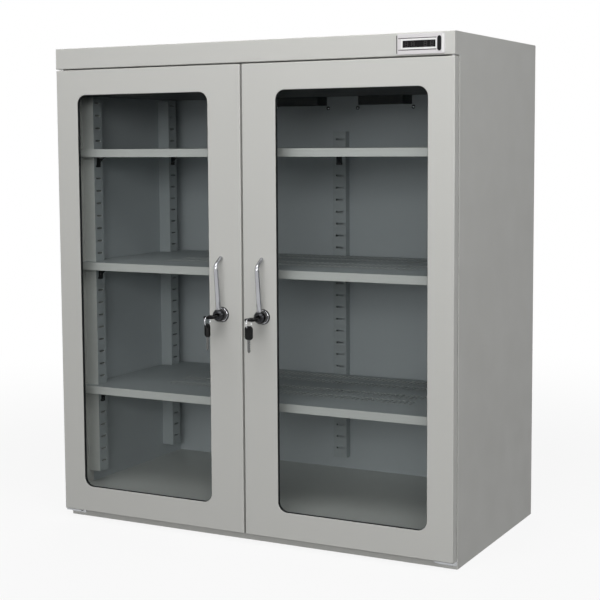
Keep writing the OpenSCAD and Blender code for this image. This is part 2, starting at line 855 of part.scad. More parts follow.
module rear_vent_plates() {
  color(paint) union() {
    for (side = [-1, 1])
      difference() {
        block([side * dryer_x - plate_w / 2, flange_y, vent_z0],
          [side * dryer_x + plate_w / 2, back_y, vent_z0 + plate_h]);
        for (z = [vent_z0 + vent_inset + louvre_h : louvre_pitch :
            vent_z0 + plate_h - vent_inset - 2 * louvre_h])
          block([side * dryer_x - plate_w / 2 + vent_inset + louvre_margin, flange_y - overrun, z],
            [side * dryer_x + plate_w / 2 - vent_inset - louvre_margin, back_y + overrun, z + louvre_h]);
      }
  }
}

bezel_r = 2;

module display_bezel() {
  color(silver) difference() {
    front_plate([bezel_x0, bezel_z - bezel_h / 2], [bezel_x1, bezel_z + bezel_h / 2], bezel_r,
      front_y - bezel_t, front_y);
    block([display_x0, front_y - bezel_t - overrun, bezel_z - display_h / 2],
      [display_x1, front_y + overrun, bezel_z + display_h / 2]);
    pill_plate(set_key_x, bezel_z, key_w + 2 * clear_gap, key_h + 2 * clear_gap,
      front_y - bezel_t - overrun, front_y + overrun);
  }
}

lens_set = 0.4;

module display_window() {
  color(black) union() {
    block([display_x0, front_y - bezel_t + lens_set, bezel_z - display_h / 2],
      [display_x1, front_y + lens_back, bezel_z + display_h / 2]);
    block([display_x0 - lens_flange, front_y, bezel_z - display_h / 2 - lens_flange],
      [display_x1 + lens_flange, front_y + lens_back, bezel_z + display_h / 2 + lens_flange]);
  }
}

board_margin = 4;
switch_w = 6;
switch_gap = 0.1;

module display_board() {
  key_stop_y = front_y + key_flange + clear_gap + key_travel + switch_gap;
  color(board_green) union() {
    block([display_x0 - board_margin, board_y, bezel_z - key_h / 2],
      [set_key_x + key_w, board_y + board_t, bezel_z + key_h / 2]);
    block([display_x0 + lens_flange, front_y + lens_back, bezel_z - display_h / 2],
      [display_x1 - lens_flange, board_y, bezel_z + display_h / 2]);
    block([set_key_x - switch_w / 2, key_stop_y, bezel_z - switch_w / 2],
      [set_key_x + switch_w / 2, board_y, bezel_z + switch_w / 2]);
  }
}

module set_key() {
  color(black) union() {
    pill_plate(set_key_x, bezel_z, key_w, key_h, front_y - bezel_t - key_proud, front_y + clear_gap);
    pill_plate(set_key_x, bezel_z, key_w + 2 * key_flange, key_h + key_flange,
      front_y + clear_gap, front_y + clear_gap + key_flange);
  }
}

pin_play = 1;
hinge_plate_w = 20;
hinge_edge = 0.8;

module upper_hinges() {
  plate_z = header_z + sheet_t;
  color(steel) union() {
    for (side = [0, 1]) mirror([side, 0, 0]) {
      block([skin_x - hinge_l, pivot_y - hinge_plate_w / 2, plate_z],
        [skin_x, pivot_y + hinge_plate_w / 2, plate_z + hinge_t]);
      translate([pivot_x, pivot_y, door_z1 - bush_l + pin_play])
        cylinder(r = pin_r, h = plate_z - door_z1 + bush_l, $fn = fine);
    }
  }
}

module lower_hinges() {
  plate_z1 = door_z0 - bush_flange_t - clear_gap;
  color(steel) union() {
    for (side = [0, 1]) mirror([side, 0, 0]) {
      block([cab_w / 2 - hinge_edge - hinge_l, pivot_y - pivot_inset, plate_z1 - hinge_t],
        [cab_w / 2 - hinge_edge, frame_y, plate_z1]);
      block([cab_w / 2 - hinge_edge - hinge_l, frame_y - hinge_t, plate_z1 - hinge_leg_h],
        [cab_w / 2 - hinge_edge, frame_y, plate_z1]);
      translate([pivot_x, pivot_y, plate_z1 - hinge_t])
        cylinder(r = pin_r, h = hinge_t + door_z0 - plate_z1 + bush_l - pin_play, $fn = fine);
    }
  }
}

module lock_hole() {
  translate([lock_x, 0, lock_h]) shaft(sleeve_r + clear_gap, front_y - overrun, door_back_y + overrun);
}

module door_shell() {
  color(paint) difference() {
    block([door_x0, front_y, door_z0], [door_x1, door_back_y, door_z1]);
    block([door_x0 + sheet_t, fascia_back_y, door_z0 + sheet_t],
      [door_x1 - sheet_t, door_back_y - sheet_t, door_z1 - sheet_t]);
    block([door_x0 + hem_w, fascia_back_y, door_z0 + hem_w],
      [door_x1 - hem_w, door_back_y + overrun, door_z1 - hem_w]);
    window_plate(0, front_y - overrun, fascia_back_y + overrun);
    lock_hole();
    translate([pivot_x, pivot_y, door_z0 - overrun])
      cylinder(r = bush_r + bush_clear, h = door_z1 - door_z0 + 2 * overrun, $fn = fine);
  }
}

module left_door_shell() {
  left_hand() door_shell();
}

module right_door_shell() {
  door_shell();
}

module door_liner() {
  color(inner_paint) difference() {
    union() {
      block([door_x0 + hem_w, door_back_y - sheet_t, door_z0 + hem_w],
        [door_x1 - hem_w, door_back_y, door_z1 - hem_w]);
      window_plate(seal_out, seal_back_y, door_back_y);
    }
    window_plate(seal_out - sheet_t, seal_back_y - overrun, door_back_y + overrun);
    lock_hole();
  }
}

module left_door_liner() {
  left_hand() door_liner();
}

module right_door_liner() {
  door_liner();
}

module door_glass() {
  color(tint) window_plate(glass_lap, glass_y, glass_y + glass_t);
}

module left_door_glass() {
  left_hand() door_glass();
}

module right_door_glass() {
  door_glass();
}

module glass_seal() {
  color(rubber) difference() {
    window_plate(seal_out, fascia_back_y, seal_back_y);
    window_plate(-seal_lip, fascia_back_y - overrun, seal_back_y + overrun);
    window_plate(glass_lap, glass_y, glass_y + glass_t);
  }
}

module left_glass_seal() {
  left_hand() glass_seal();
}

module right_glass_seal() {
  glass_seal();
}

gasket_r = 3;

module door_gasket() {
  in = gasket_inset;
  wide = gasket_inset + gasket_w;
  gasket_y = frame_y - clear_gap;
  color(rubber) difference() {
    front_plate([door_x0 + in, door_z0 + in], [door_x1 - in, door_z1 - in], gasket_r,
      door_back_y, gasket_y);
    block([door_x0 + wide, door_back_y - overrun, door_z0 + wide],
      [door_x1 - wide, gasket_y + overrun, door_z1 - wide]);
  }
}

module left_door_gasket() {
  left_hand() door_gasket();
}

module right_door_gasket() {
  door_gasket();
}

// A flanged bush in the door's lower edge, standing at z = 0
module hinge_bush() {
  difference() {
    union() {
      translate([0, 0, -bush_flange_t]) cylinder(r = bush_r + bush_flange_w, h = bush_flange_t, $fn = fine);
      cylinder(r = bush_r, h = bush_l, $fn = fine);
    }
    translate([0, 0, -bush_flange_t - overrun])
      cylinder(r = pin_r + running, h = bush_l + bush_flange_t + 2 * overrun, $fn = fine);
  }
}

module hinge_bushes() {
  color(nylon) translate([pivot_x, pivot_y, 0]) union() {
    translate([0, 0, door_z0]) hinge_bush();
    translate([0, 0, door_z1]) mirror([0, 0, 1]) hinge_bush();
  }
}

module left_hinge_bushes() {
  left_hand() hinge_bushes();
}

module right_hinge_bushes() {
  hinge_bushes();
}

rosette_edge = 1.2;

module rosette() {
  color(chrome) translate([lock_x, 0, lock_h]) difference() {
    union() {
      translate([0, front_y, 0]) rotate([90, 0, 0]) rotate_extrude($fn = fine)
        polygon([[0, 0], [rosette_r, 0], [rosette_r, rosette_t - rosette_edge],
          [rosette_r - rosette_edge, rosette_t], [0, rosette_t]]);
      shaft(sleeve_r, front_y, sleeve_end_y);
      shaft(nut_r, door_back_y, sleeve_end_y, nut_sides);
    }
    shaft(spindle_r + running, front_y - rosette_t - overrun, sleeve_end_y + overrun);
  }
}

module left_rosette() {
  left_hand() rosette();
}

module right_rosette() {
  rosette();
}

// A round bar between two points in the plane of the handle
module bar(from, to, r) {
  rise = to - from;
  translate([0, from.x, from.y]) rotate([-atan2(rise.x, rise.y), 0, 0])
    cylinder(r = r, h = norm(rise), $fn = small);
}

lever_waist_share = 0.86;
knob_waist_share = 0.78;
knob_belly_share = 0.4;
knob_steps = 8;
lever_root = 6;
lever_foot_gap = 1.5;
bend_drop = 14;

module handle() {
  bend = [front_y - bar_reach, lever_l - bend_drop];
  foot_y = front_y - lever_foot_gap - bar_r * knob_waist_share;
  foot = [foot_y, lever_l];
  root = [knob_back_y - knob_l / 2, lever_root];
  color(chrome) translate([lock_x, 0, lock_h]) difference() {
    union() {
      translate([0, knob_back_y, 0]) rotate([90, 0, 0]) rotate_extrude($fn = fine)
        polygon([[0, 0], [knob_r * knob_waist_share, 0],
          for (i = [0 : knob_steps])
            [knob_r * (knob_waist_share + (1 - knob_waist_share) * sin(i * 90 / knob_steps)),
              knob_l * knob_belly_share * i / knob_steps],
          for (i = [1 : knob_steps])
            [knob_face_r + (knob_r - knob_face_r) * cos(i * 90 / knob_steps),
              knob_l * (knob_belly_share + (1 - knob_belly_share) * sin(i * 90 / knob_steps))],
          [0, knob_l]]);
      shaft(spindle_r, knob_back_y - knob_l / 2, spindle_end_y);
      block([-square_w / 2, spindle_end_y - overrun, -square_w / 2],
        [square_w / 2, spindle_end_y + square_l, square_w / 2]);
      bar(root, bend, bar_r);
      translate([0, bend.x, bend.y]) sphere(r = bar_r, $fn = small);
      bar(bend, foot, bar_r * lever_waist_share);
      translate([0, foot.x, foot.y]) sphere(r = bar_r * lever_waist_share, $fn = small);
    }
    shaft(plug_r + running, knob_front_y - overrun, plug_back_y + clear_gap);
  }
}

module left_handle() {
  left_hand() handle();
}

module right_handle() {
  handle();
}

module latch_tongue() {
  color(steel) translate([lock_x, 0, lock_h]) difference() {
    union() {
      shaft(tongue_hub_r, tongue_y, tongue_y + tongue_t);
      block([-tongue_w / 2, tongue_y, -tongue_l], [tongue_w / 2, tongue_y + tongue_t, 0]);
      shaft(latch_nut_r, tongue_y + tongue_t, tongue_y + tongue_t + latch_nut_h, nut_sides);
    }
    block([-square_w / 2, tongue_y - overrun, -square_w / 2],
      [square_w / 2, spindle_end_y + square_l, square_w / 2]);
  }
}

module left_latch_tongue() {
  left_hand() latch_tongue();
}

module right_latch_tongue() {
  latch_tongue();
}

module lock_plug() {
  plug_front_y = knob_front_y - plug_proud;
  color(silver) translate([lock_x, 0, lock_h]) difference() {
    shaft(plug_r, plug_front_y, plug_back_y);
    block([-blade_w / 2 - keyway_gap, plug_front_y - overrun, -blade_t / 2 - keyway_gap],
      [blade_w / 2 + keyway_gap, plug_front_y + blade_l + clear_gap, blade_t / 2 + keyway_gap]);
  }
}

module left_lock_plug() {
  left_hand() lock_plug();
}

module right_lock_plug() {
  lock_plug();
}

blade_tip = 2;

module inserted_key() {
  plug_front_y = knob_front_y - plug_proud;
  blade_y1 = plug_front_y + blade_l;
  bow_y1 = key_tip_y + bow_l;
  color(black) translate([lock_x, 0, lock_h]) difference() {
    union() {
      translate([0, 0, -bow_t / 2]) linear_extrude(bow_t)
        round_outline([-bow_w / 2, key_tip_y], [bow_w / 2, bow_y1], bow_corner);
      translate([0, 0, -blade_t / 2]) linear_extrude(blade_t)
        polygon([[-blade_w / 2, bow_y1 - overrun], [blade_w / 2, bow_y1 - overrun],
          [blade_w / 2, blade_y1 - blade_tip], [blade_w / 2 - blade_tip, blade_y1],
          [blade_tip - blade_w / 2, blade_y1], [-blade_w / 2, blade_y1 - blade_tip]]);
    }
    block([-bow_hole_w / 2, key_tip_y + bar_w, -bow_t],
      [bow_hole_w / 2, key_tip_y + bar_w + bow_hole_l, bow_t]);
  }
}

module left_key() {
  left_hand() inserted_key();
}

module right_key() {
  inserted_key();
}

module key_ring() {
  color(silver) translate([lock_x, bar_y, ring_z]) rotate([0, 90, 0])
    rotate_extrude($fn = fine) translate([ring_r, 0]) circle(r = wire_r, $fn = small);
}

module left_key_ring() {
  left_hand() key_ring();
}

module right_key_ring() {
  key_ring();
}

spare_blade_w = 7.5;
notch_pitch = 3.5;
notch_d = 1.6;
notches = 5;

module spare_key() {
  hole_z = ring_bottom_z - spare_hole_r + wire_r + clear_gap;
  bow_z1 = hole_z + spare_hole_r + spare_bar;
  bow_z0 = bow_z1 - spare_bow_l;
  tip_z = bow_z0 - spare_blade_l;
  edge_x = spare_blade_w / 2;
  color(black) translate([lock_x, bar_y, 0]) difference() {
    union() {
      front_plate([-spare_bow_w / 2, bow_z0], [spare_bow_w / 2, bow_z1], bow_corner,
        -spare_t / 2, spare_t / 2);
      translate([0, blade_t / 2, 0]) rotate([90, 0, 0]) linear_extrude(blade_t)
        polygon([[-edge_x, bow_z0 + overrun], [edge_x, bow_z0 + overrun], [edge_x, bow_z0 - notch_pitch],
          for (i = [1 : notches]) each [[edge_x - notch_d, bow_z0 - notch_pitch * (i + 1 / 2)],
            [edge_x, bow_z0 - notch_pitch * (i + 1)]],
          [0, tip_z], [-edge_x, tip_z + blade_tip]]);
    }
    translate([0, 0, hole_z]) shaft(spare_hole_r, -spare_t, spare_t);
  }
}

module left_spare_key() {
  left_hand() spare_key();
}

module right_spare_key() {
  spare_key();
}

top_cover();
left_side_panel();
right_side_panel();
back_panel();
bottom_pan();
front_sill();
front_lintel();
centre_post();
inner_floor();
inner_ceiling();
front_left_upright();
front_right_upright();
rear_left_upright();
rear_right_upright();
rear_centre_upright();
top_shelf();
middle_shelf();
lower_shelf();
top_shelf_clips();
middle_shelf_clips();
lower_shelf_clips();
dryer_covers();
cover_screws();
drying_units();
humidity_sensor();
control_board();
power_inlet();
rear_vent_plates();
display_bezel();
display_window();
display_board();
set_key();
upper_hinges();
lower_hinges();
left_door_shell();
left_door_liner();
left_door_glass();
left_glass_seal();
left_door_gasket();
left_hinge_bushes();
left_rosette();
left_handle();
left_latch_tongue();
left_lock_plug();
left_key();
left_key_ring();
left_spare_key();
right_door_shell();
right_door_liner();
right_door_glass();
right_glass_seal();
right_door_gasket();
right_hinge_bushes();
right_rosette();
right_handle();
right_latch_tongue();
right_lock_plug();
right_key();
right_key_ring();
right_spare_key();
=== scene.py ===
"""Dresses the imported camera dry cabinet: finishes, modelled pieces, floor, light and camera."""
import logging
import math
from dataclasses import dataclass, replace
from enum import Enum
from typing import Callable, Sequence, TypeAlias

import bmesh
import bpy
from mathutils import Matrix, Vector


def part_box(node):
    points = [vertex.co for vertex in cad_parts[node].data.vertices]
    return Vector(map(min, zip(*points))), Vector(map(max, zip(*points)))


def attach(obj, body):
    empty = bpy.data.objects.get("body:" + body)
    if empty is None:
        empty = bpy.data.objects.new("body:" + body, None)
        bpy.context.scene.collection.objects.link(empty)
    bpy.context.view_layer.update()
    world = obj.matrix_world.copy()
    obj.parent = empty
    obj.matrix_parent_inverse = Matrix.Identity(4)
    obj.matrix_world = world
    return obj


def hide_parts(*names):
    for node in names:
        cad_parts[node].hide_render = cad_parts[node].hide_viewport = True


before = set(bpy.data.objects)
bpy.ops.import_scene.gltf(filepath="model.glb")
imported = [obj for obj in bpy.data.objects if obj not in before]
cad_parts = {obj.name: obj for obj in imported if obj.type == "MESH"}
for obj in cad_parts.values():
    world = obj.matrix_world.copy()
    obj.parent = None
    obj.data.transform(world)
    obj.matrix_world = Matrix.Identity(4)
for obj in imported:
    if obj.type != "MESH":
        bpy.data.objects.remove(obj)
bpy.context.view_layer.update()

LOG = logging.getLogger("dry_cabinet")
MM = 0.001
TOUCH = 0.02 * MM
OVERRUN = 1 * MM
FRONT = Vector((0, -1, 0))
BACK = Vector((0, 1, 0))
UP = Vector((0, 0, 1))
LEVEL = 0.9              # how closely a face's normal follows the way that it looks
STRAIGHT = 0.999         # how closely an edge follows the axis that it runs along
FOLD_ANGLE = 1           # the least angle of a fold, in radians
SMOOTH_ANGLE = math.radians(40)
FACE_WEIGHT = 100        # how much a large face counts for the normals at its edges, at most
NOISE_LOW, NOISE_HIGH = 0.3, 0.7    # the range that most of a noise's values lie in
SPARSE, COARSE, FINE = 2, 3, 5      # how many octaves a noise has
GLOSS_SPOTS = 6          # how much smaller the spots of gloss are than the clouds of colour

Piece: TypeAlias = bpy.types.Object
Socket: TypeAlias = bpy.types.NodeSocket
Node: TypeAlias = bpy.types.Node
Point: TypeAlias = tuple[float, float]
Place: TypeAlias = tuple[float, float, float]
Colour: TypeAlias = tuple[float, float, float]
Feed: TypeAlias = dict[str | int, object]
PartTest: TypeAlias = Callable[[bmesh.types.BMFace | bmesh.types.BMEdge | bmesh.types.BMVert], bool]


class Axis(Enum):
    """A direction of the cabinet."""

    ACROSS = 0
    DEPTH = 1
    UPRIGHT = 2

    @property
    def vector(self) -> Vector:
        """The unit vector along the axis."""
        return Vector([float(i == self.value) for i in range(3)])


def clear_selection() -> None:
    """Goes to object mode with nothing selected."""
    if bpy.context.mode != "OBJECT":
        bpy.ops.object.mode_set(mode="OBJECT")
    bpy.ops.object.select_all(action="DESELECT")


def activate(piece: Piece) -> None:
    """Selects one piece alone and makes it active.

    Args:
        piece: The piece to work on.
    """
    clear_selection()
    piece.select_set(True)
    bpy.context.view_layer.objects.active = piece


def rename(piece: Piece, name: str) -> Piece:
    """Names a piece and its mesh."""
    piece.name = piece.data.name = name
    return piece


def settle(name: str) -> Piece:
    """Names the primitive that was just added and puts its place into its mesh."""
    bpy.ops.object.transform_apply(location=True, rotation=True, scale=True)
    return rename(bpy.context.active_object, name)


def block(name: str, lo: Vector, hi: Vector) -> Piece:
    """Adds a block between two opposite corners.

    Args:
        name: The piece's name.
        lo: Its lowest corner.
        hi: Its highest corner.

    Returns:
        The block.
    """
    clear_selection()
    bpy.ops.mesh.primitive_cube_add(size=1, location=(lo + hi) / 2, scale=hi - lo)
    return settle(name)


def rod(name: str, through: Vector, axis: Axis, start: float, end: float, radius: float,
        sides: int = 48) -> Piece:
    """Adds a round or many-sided rod along an axis of the cabinet.

    Args:
        name: The piece's name.
        through: A point on the rod's axis.
        axis: The axis that it runs along.
        start: Where it starts on that axis.
        end: Where it ends.
        radius: Its radius.
        sides: How many sides it has.

    Returns:
        The rod.
    """
    place = through.copy()
    place[axis.value] = (start + end) / 2
    clear_selection()
    bpy.ops.mesh.primitive_cylinder_add(vertices=sides, radius=radius, depth=end - start, location=place,
                                        rotation=axis.vector.to_track_quat("Z", "Y").to_euler())
    return settle(name)


def pick(piece: Piece, kind: str, test: PartTest = lambda part: True) -> None:
    """Opens a piece in edit mode and selects those of its parts that pass a test.

    Args:
        piece: The piece to work on.
        kind: VERT, EDGE or FACE.
        test: Says whether a part is selected.
    """
    if piece.mode != "EDIT":
        activate(piece)
        bpy.ops.object.mode_set(mode="EDIT")
    bpy.ops.mesh.select_mode(type=kind)
    bpy.ops.mesh.select_all(action="DESELECT")
    mesh = bmesh.from_edit_mesh(piece.data)
    for part in {"VERT": mesh.verts, "EDGE": mesh.edges, "FACE": mesh.faces}[kind]:
        if test(part):
            part.select_set(True)
    mesh.select_flush_mode()
    bmesh.update_edit_mesh(piece.data)


def middle(edge: bmesh.types.BMEdge) -> Vector:
    """The midpoint of an edge."""
    return (edge.verts[0].co + edge.verts[1].co) / 2


def near(value: float, plane: float) -> bool:
    """Whether a coordinate lies in a plane."""
    return abs(value - plane) < TOUCH


def along(axis: Axis) -> PartTest:
    """A test for the edges that run along an axis."""
    return lambda edge: abs((edge.verts[1].co - edge.verts[0].co).normalized().dot(axis.vector)) > STRAIGHT


def folded(edge: bmesh.types.BMEdge) -> bool:
    """Whether two faces meet at an edge at a steep angle."""
    return len(edge.link_faces) == 2 and edge.calc_face_angle() > FOLD_ANGLE


def lying(axis: Axis, plane: float) -> PartTest:
    """A test for the edges that lie in a plane across an axis."""
    return lambda edge: near(middle(edge)[axis.value], plane)


def both(first: PartTest, second: PartTest) -> PartTest:
    """A test for the parts that pass two tests."""
    return lambda part: first(part) and second(part)


def looks(face: bmesh.types.BMFace, way: Vector) -> bool:
    """Whether a face's outer side looks one way."""
    return face.normal.dot(way) > LEVEL


def remove_faces(piece: Piece, test: PartTest) -> None:
    """Deletes the faces of a piece that pass a test."""
    pick(piece, "FACE", test)
    bpy.ops.mesh.delete(type="FACE")


def trim(piece: Piece, side: Vector, point: Vector, away: Vector) -> None:
    """Cuts the faces that look to one side at a plane, and drops what lies on the side of its normal."""
    pick(piece, "FACE", lambda face: looks(face, side))
    bpy.ops.mesh.bisect(plane_co=point, plane_no=away, clear_outer=True)


def round_edges(piece: Piece, test: PartTest, radius: float, segments: int = 3) -> None:
    """Rounds the edges of a piece that pass a test."""
    pick(piece, "EDGE", test)
    bpy.ops.mesh.bevel(offset=radius, segments=segments, affect="EDGES", clamp_overlap=True)


def apply_modifier(piece: Piece, kind: str, **settings: object) -> None:
    """Adds a modifier to a piece and applies it.

    Args:
        piece: The piece to work on.
        kind: The modifier's type.
        **settings: The modifier's settings.
    """
    activate(piece)
    bpy.ops.object.modifier_add(type=kind)
    modifier = piece.modifiers[-1]
    for key, value in settings.items():
        setattr(modifier, key, value)
    bpy.ops.object.modifier_apply(modifier=modifier.name)


def fold(piece: Piece, test: PartTest, radius: float, sheet: float) -> None:
    """Rounds the folds of an open sheet to an outer radius, and thickens the sheet inwards."""
    round_edges(piece, test, radius, segments=4)
    apply_modifier(piece, "SOLIDIFY", thickness=sheet, offset=-1, use_even_offset=True)


def cut(piece: Piece, *tools: Piece) -> None:
    """Cuts tools out of a piece and removes them.

    Args:
        piece: The piece to work on.
        *tools: The solids that are cut out.
    """
    for tool in tools:
        apply_modifier(piece, "BOOLEAN", operation="DIFFERENCE", solver="EXACT", object=tool)
        bpy.data.objects.remove(tool)


def join(name: str, pieces: Sequence[Piece]) -> Piece:
    """Joins pieces into the first of them.

    Args:
        name: The name of the joined piece.
        pieces: The pieces to join.

    Returns:
        The joined piece.
    """
    activate(pieces[0])
    for piece in pieces:
        piece.select_set(True)
    bpy.ops.object.join()
    return rename(pieces[0], name)


def copied(piece: Piece, name: str, shift: Vector = Vector()) -> Piece:
    """Copies a piece, with a mesh of its own.

    Args:
        piece: The piece to copy.
        name: The copy's name.
        shift: How far the copy is moved.

    Returns:
        The copy.
    """
    activate(piece)
    bpy.ops.object.duplicate(linked=False)
    twin = rename(bpy.context.active_object, name)
    pick(twin, "VERT")
    bpy.ops.transform.translate(value=shift)
    return twin


def repeated(name: str, piece: Piece, places: Sequence[Vector]) -> Piece:
    """Copies a piece from the first of its places to all others, and joins the lot."""
    return join(name, [piece] + [copied(piece, name, place - places[0]) for place in places[1:]])


def turned(name: str, profile: Sequence[Point], base: Vector, way: Vector, steps: int) -> Piece:
    """Turns a profile about an axis, as on a lathe.

    Args:
        name: The piece's name.
        profile: Radius and height of the profile's points, in order.
        base: The point on the axis that heights are measured from.
        way: The axis, in the direction that heights grow.
        steps: How many facets go round.

    Returns:
        The closed round piece.
    """
    across = way.orthogonal().normalized()
    points = [base + across * radius + way * height for radius, height in profile]
    clear_selection()
    bpy.ops.mesh.primitive_plane_add(size=MM, location=points[0])
    piece = settle(name)
    pick(piece, "VERT")
    bpy.ops.mesh.merge(type="CENTER")
    for start, end in zip(points, points[1:]):
        bpy.ops.mesh.extrude_verts_indiv()
        bpy.ops.transform.translate(value=end - start)
    bpy.ops.mesh.select_all(action="SELECT")
    bpy.ops.mesh.spin(steps=steps, angle=math.tau, center=base, axis=way)
    bpy.ops.mesh.select_all(action="SELECT")
    bpy.ops.mesh.remove_doubles(threshold=TOUCH)
    bpy.ops.mesh.normals_make_consistent(inside=False)
    return piece


def rim_points(radius: float, height: float, inward: float, drop: float,
               degrees: Sequence[float]) -> list[Point]:
    """The points of a profile's rounded rim, at angles from 0 at its side to 90 at its top."""
    return [(radius - inward * (1 - math.cos(angle)), height - drop * (1 - math.sin(angle)))
            for angle in map(math.radians, degrees)]


def swept(name: str, points: Sequence[Vector], radii: Sequence[float], fineness: int) -> Piece:
    """Sweeps a round section along points.

    Args:
        name: The piece's name.
        points: The points of the centreline.
        radii: The section's radius at each point.
        fineness: How finely the section is rounded.

    Returns:
        The swept piece.
    """
    line = bpy.data.curves.new(name, "CURVE")
    line.dimensions = "3D"
    line.bevel_depth = 1
    line.bevel_resolution = fineness
    line.use_fill_caps = True
    spline = line.splines.new("POLY")
    spline.points.add(len(points) - 1)
    for control, point, radius in zip(spline.points, points, radii):
        control.co = (*point, 1)
        control.radius = radius
    piece = bpy.data.objects.new(name, line)
    bpy.context.scene.collection.objects.link(piece)
    activate(piece)
    bpy.ops.object.convert(target="MESH")
    piece = bpy.context.active_object
    pick(piece, "VERT")
    bpy.ops.mesh.remove_doubles(threshold=TOUCH)
    bpy.ops.mesh.normals_make_consistent(inside=False)
    return piece


def centre_of(node: str) -> Vector:
    """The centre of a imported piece's box."""
    lo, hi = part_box(node)
    return (lo + hi) / 2


def within(node: str, across: float, up: float) -> tuple[Vector, Vector]:
    """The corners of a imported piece's box, less a flange across and one up and down."""
    lo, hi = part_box(node)
    return lo + Vector((across, 0, up)), hi - Vector((across, 0, up))


def srgb(red: int, green: int, blue: int) -> Colour:
    """The linear colour of a screen colour."""
    return tuple(((c / 255 + 0.055) / 1.055) ** 2.4 if c > 10 else c / 255 / 12.92
                 for c in (red, green, blue))


class NodeBoard:
    """The node tree of a material or of the world that is being made."""

    def __init__(self, owner: bpy.types.Material | bpy.types.World) -> None:
        """Opens a node tree.

        Args:
            owner: The material or the world that the tree belongs to.
        """
        owner.use_nodes = True
        self.owner = owner
        self.nodes = owner.node_tree.nodes
        self.place = self.add("ShaderNodeTexCoord").outputs

    @property
    def shader(self) -> Node:
        """The material's own shader."""
        return self.nodes["Principled BSDF"]

    def add(self, kind: str, feed: Feed | None = None, **settings: object) -> Node:
        """Adds a node.

        Args:
            kind: The node's type.
            feed: What its inputs get.
            **settings: Its settings.

        Returns:
            The node.
        """
        node = self.nodes.new(kind)
        for key, value in settings.items():
            setattr(node, key, value)
        self.feed(node, feed or {})
        return node

    def feed(self, node: Node, feed: Feed) -> None:
        """Sets or links a node's inputs.

        Args:
            node: The node.
            feed: A value to set or a socket to link, by the input's name or number.
        """
        for key, value in feed.items():
            if isinstance(value, Socket):
                self.owner.node_tree.links.new(value, node.inputs[key])
            else:
                node.inputs[key].default_value = value

    def noise(self, scale: float, detail: float) -> Socket:
        """Adds a noise over the piece, with a number of blotches to the metre."""
        feed = {"Scale": scale, "Detail": detail, "Vector": self.place["Object"]}
        return self.add("ShaderNodeTexNoise", feed).outputs["Fac"]

    def spread(self, value: Socket, low: float, high: float) -> Socket:
        """Spreads a noise's middle values over a range."""
        feed = {"Value": value, "From Min": NOISE_LOW, "From Max": NOISE_HIGH, "To Min": low, "To Max": high}
        return self.add("ShaderNodeMapRange", feed).outputs["Result"]

    def mix(self, share: Socket, first: Colour, second: Colour) -> Socket:
        """Mixes a share of a second colour into a first one."""
        feed = {"A": (*first, 1), "B": (*second, 1), "Factor": share}
        return self.add("ShaderNodeMix", feed, data_type="RGBA").outputs["Result"]

    def relief(self, height: Socket, depth: float, strength: float) -> Socket:
        """The surface's normal with a fine relief, of a height from 0 to 1."""
        feed = {"Height": height, "Distance": depth, "Strength": strength}
        return self.add("ShaderNodeBump", feed).outputs["Normal"]

    def blend(self, share: Socket, first: Node, second: Node) -> Node:
        """Blends a share of a second shader into a first one."""
        return self.add("ShaderNodeMixShader", {"Fac": share, 1: first.outputs[0], 2: second.outputs[0]})

    def end(self, shader: Node) -> None:
        """Makes a shader the material's surface."""
        self.feed(self.nodes["Material Output"], {"Surface": shader.outputs[0]})


@dataclass(frozen=True)
class Finish:
    """A finish with cloudy colour, uneven gloss and a fine relief."""

    name: str
    slot: str
    colour: Colour
    gloss: tuple[float, float] = (0.42, 0.52)
    cloud: float = 0.012
    cloud_scale: float = 3
    grain_scale: float = 900
    grain_depth: float = 0.05 * MM
    grain_strength: float = 0.12
    metallic: float = 0
    specular: float = 0.5
    coat: float = 0

    def material(self) -> bpy.types.Material:
        """Makes the material, or finds the one that was made before.

        Returns:
            The material.
        """
        if self.name not in bpy.data.materials:
            self.fill(NodeBoard(bpy.data.materials.new(self.name)))
        return bpy.data.materials[self.name]

    def fill(self, board: NodeBoard) -> None:
        """Adds the material's nodes.

        Args:
            board: The material's node tree.
        """
        light = tuple(min(1, c * (1 + self.cloud)) for c in self.colour)
        dark = tuple(c * (1 - self.cloud) for c in self.colour)
        cloud = board.spread(board.noise(self.cloud_scale, FINE), 0, 1)
        grain = board.noise(self.grain_scale, COARSE)
        board.feed(board.shader, {
            "Metallic": self.metallic, "Specular IOR Level": self.specular, "Coat Weight": self.coat,
            "Base Color": board.mix(cloud, dark, light),
            "Roughness": board.spread(board.noise(self.cloud_scale * GLOSS_SPOTS, COARSE), *self.gloss),
            "Normal": board.relief(grain, self.grain_depth, self.grain_strength)})


@dataclass(frozen=True)
class GlassFinish(Finish):
    """Clear glass with a faint tint, and a reflection that grows at a slant."""

    clear: Colour = (0.978, 0.986, 0.984)
    veil: tuple[float, float] = (0.01, 0.5)
    slant: float = 0.25

    def fill(self, board: NodeBoard) -> None:
        """Adds the material's nodes.

        Args:
            board: The material's node tree.
        """
        dark = tuple(c * (1 - self.cloud) for c in self.colour)
        tone = board.mix(board.noise(self.cloud_scale, COARSE), self.colour, dark)
        board.feed(board.shader, {"Specular IOR Level": self.specular, "Roughness": self.gloss[0],
                                  "Base Color": tone})
        slanted = board.add("ShaderNodeLayerWeight", {"Blend": self.slant}).outputs["Fresnel"]
        share = board.add("ShaderNodeMapRange", {"Value": slanted, "To Min": self.veil[0],
                                                 "To Max": self.veil[1]})
        see_through = board.add("ShaderNodeBsdfTransparent", {"Color": (*self.clear, 1)})
        board.end(board.blend(share.outputs["Result"], see_through, board.shader))


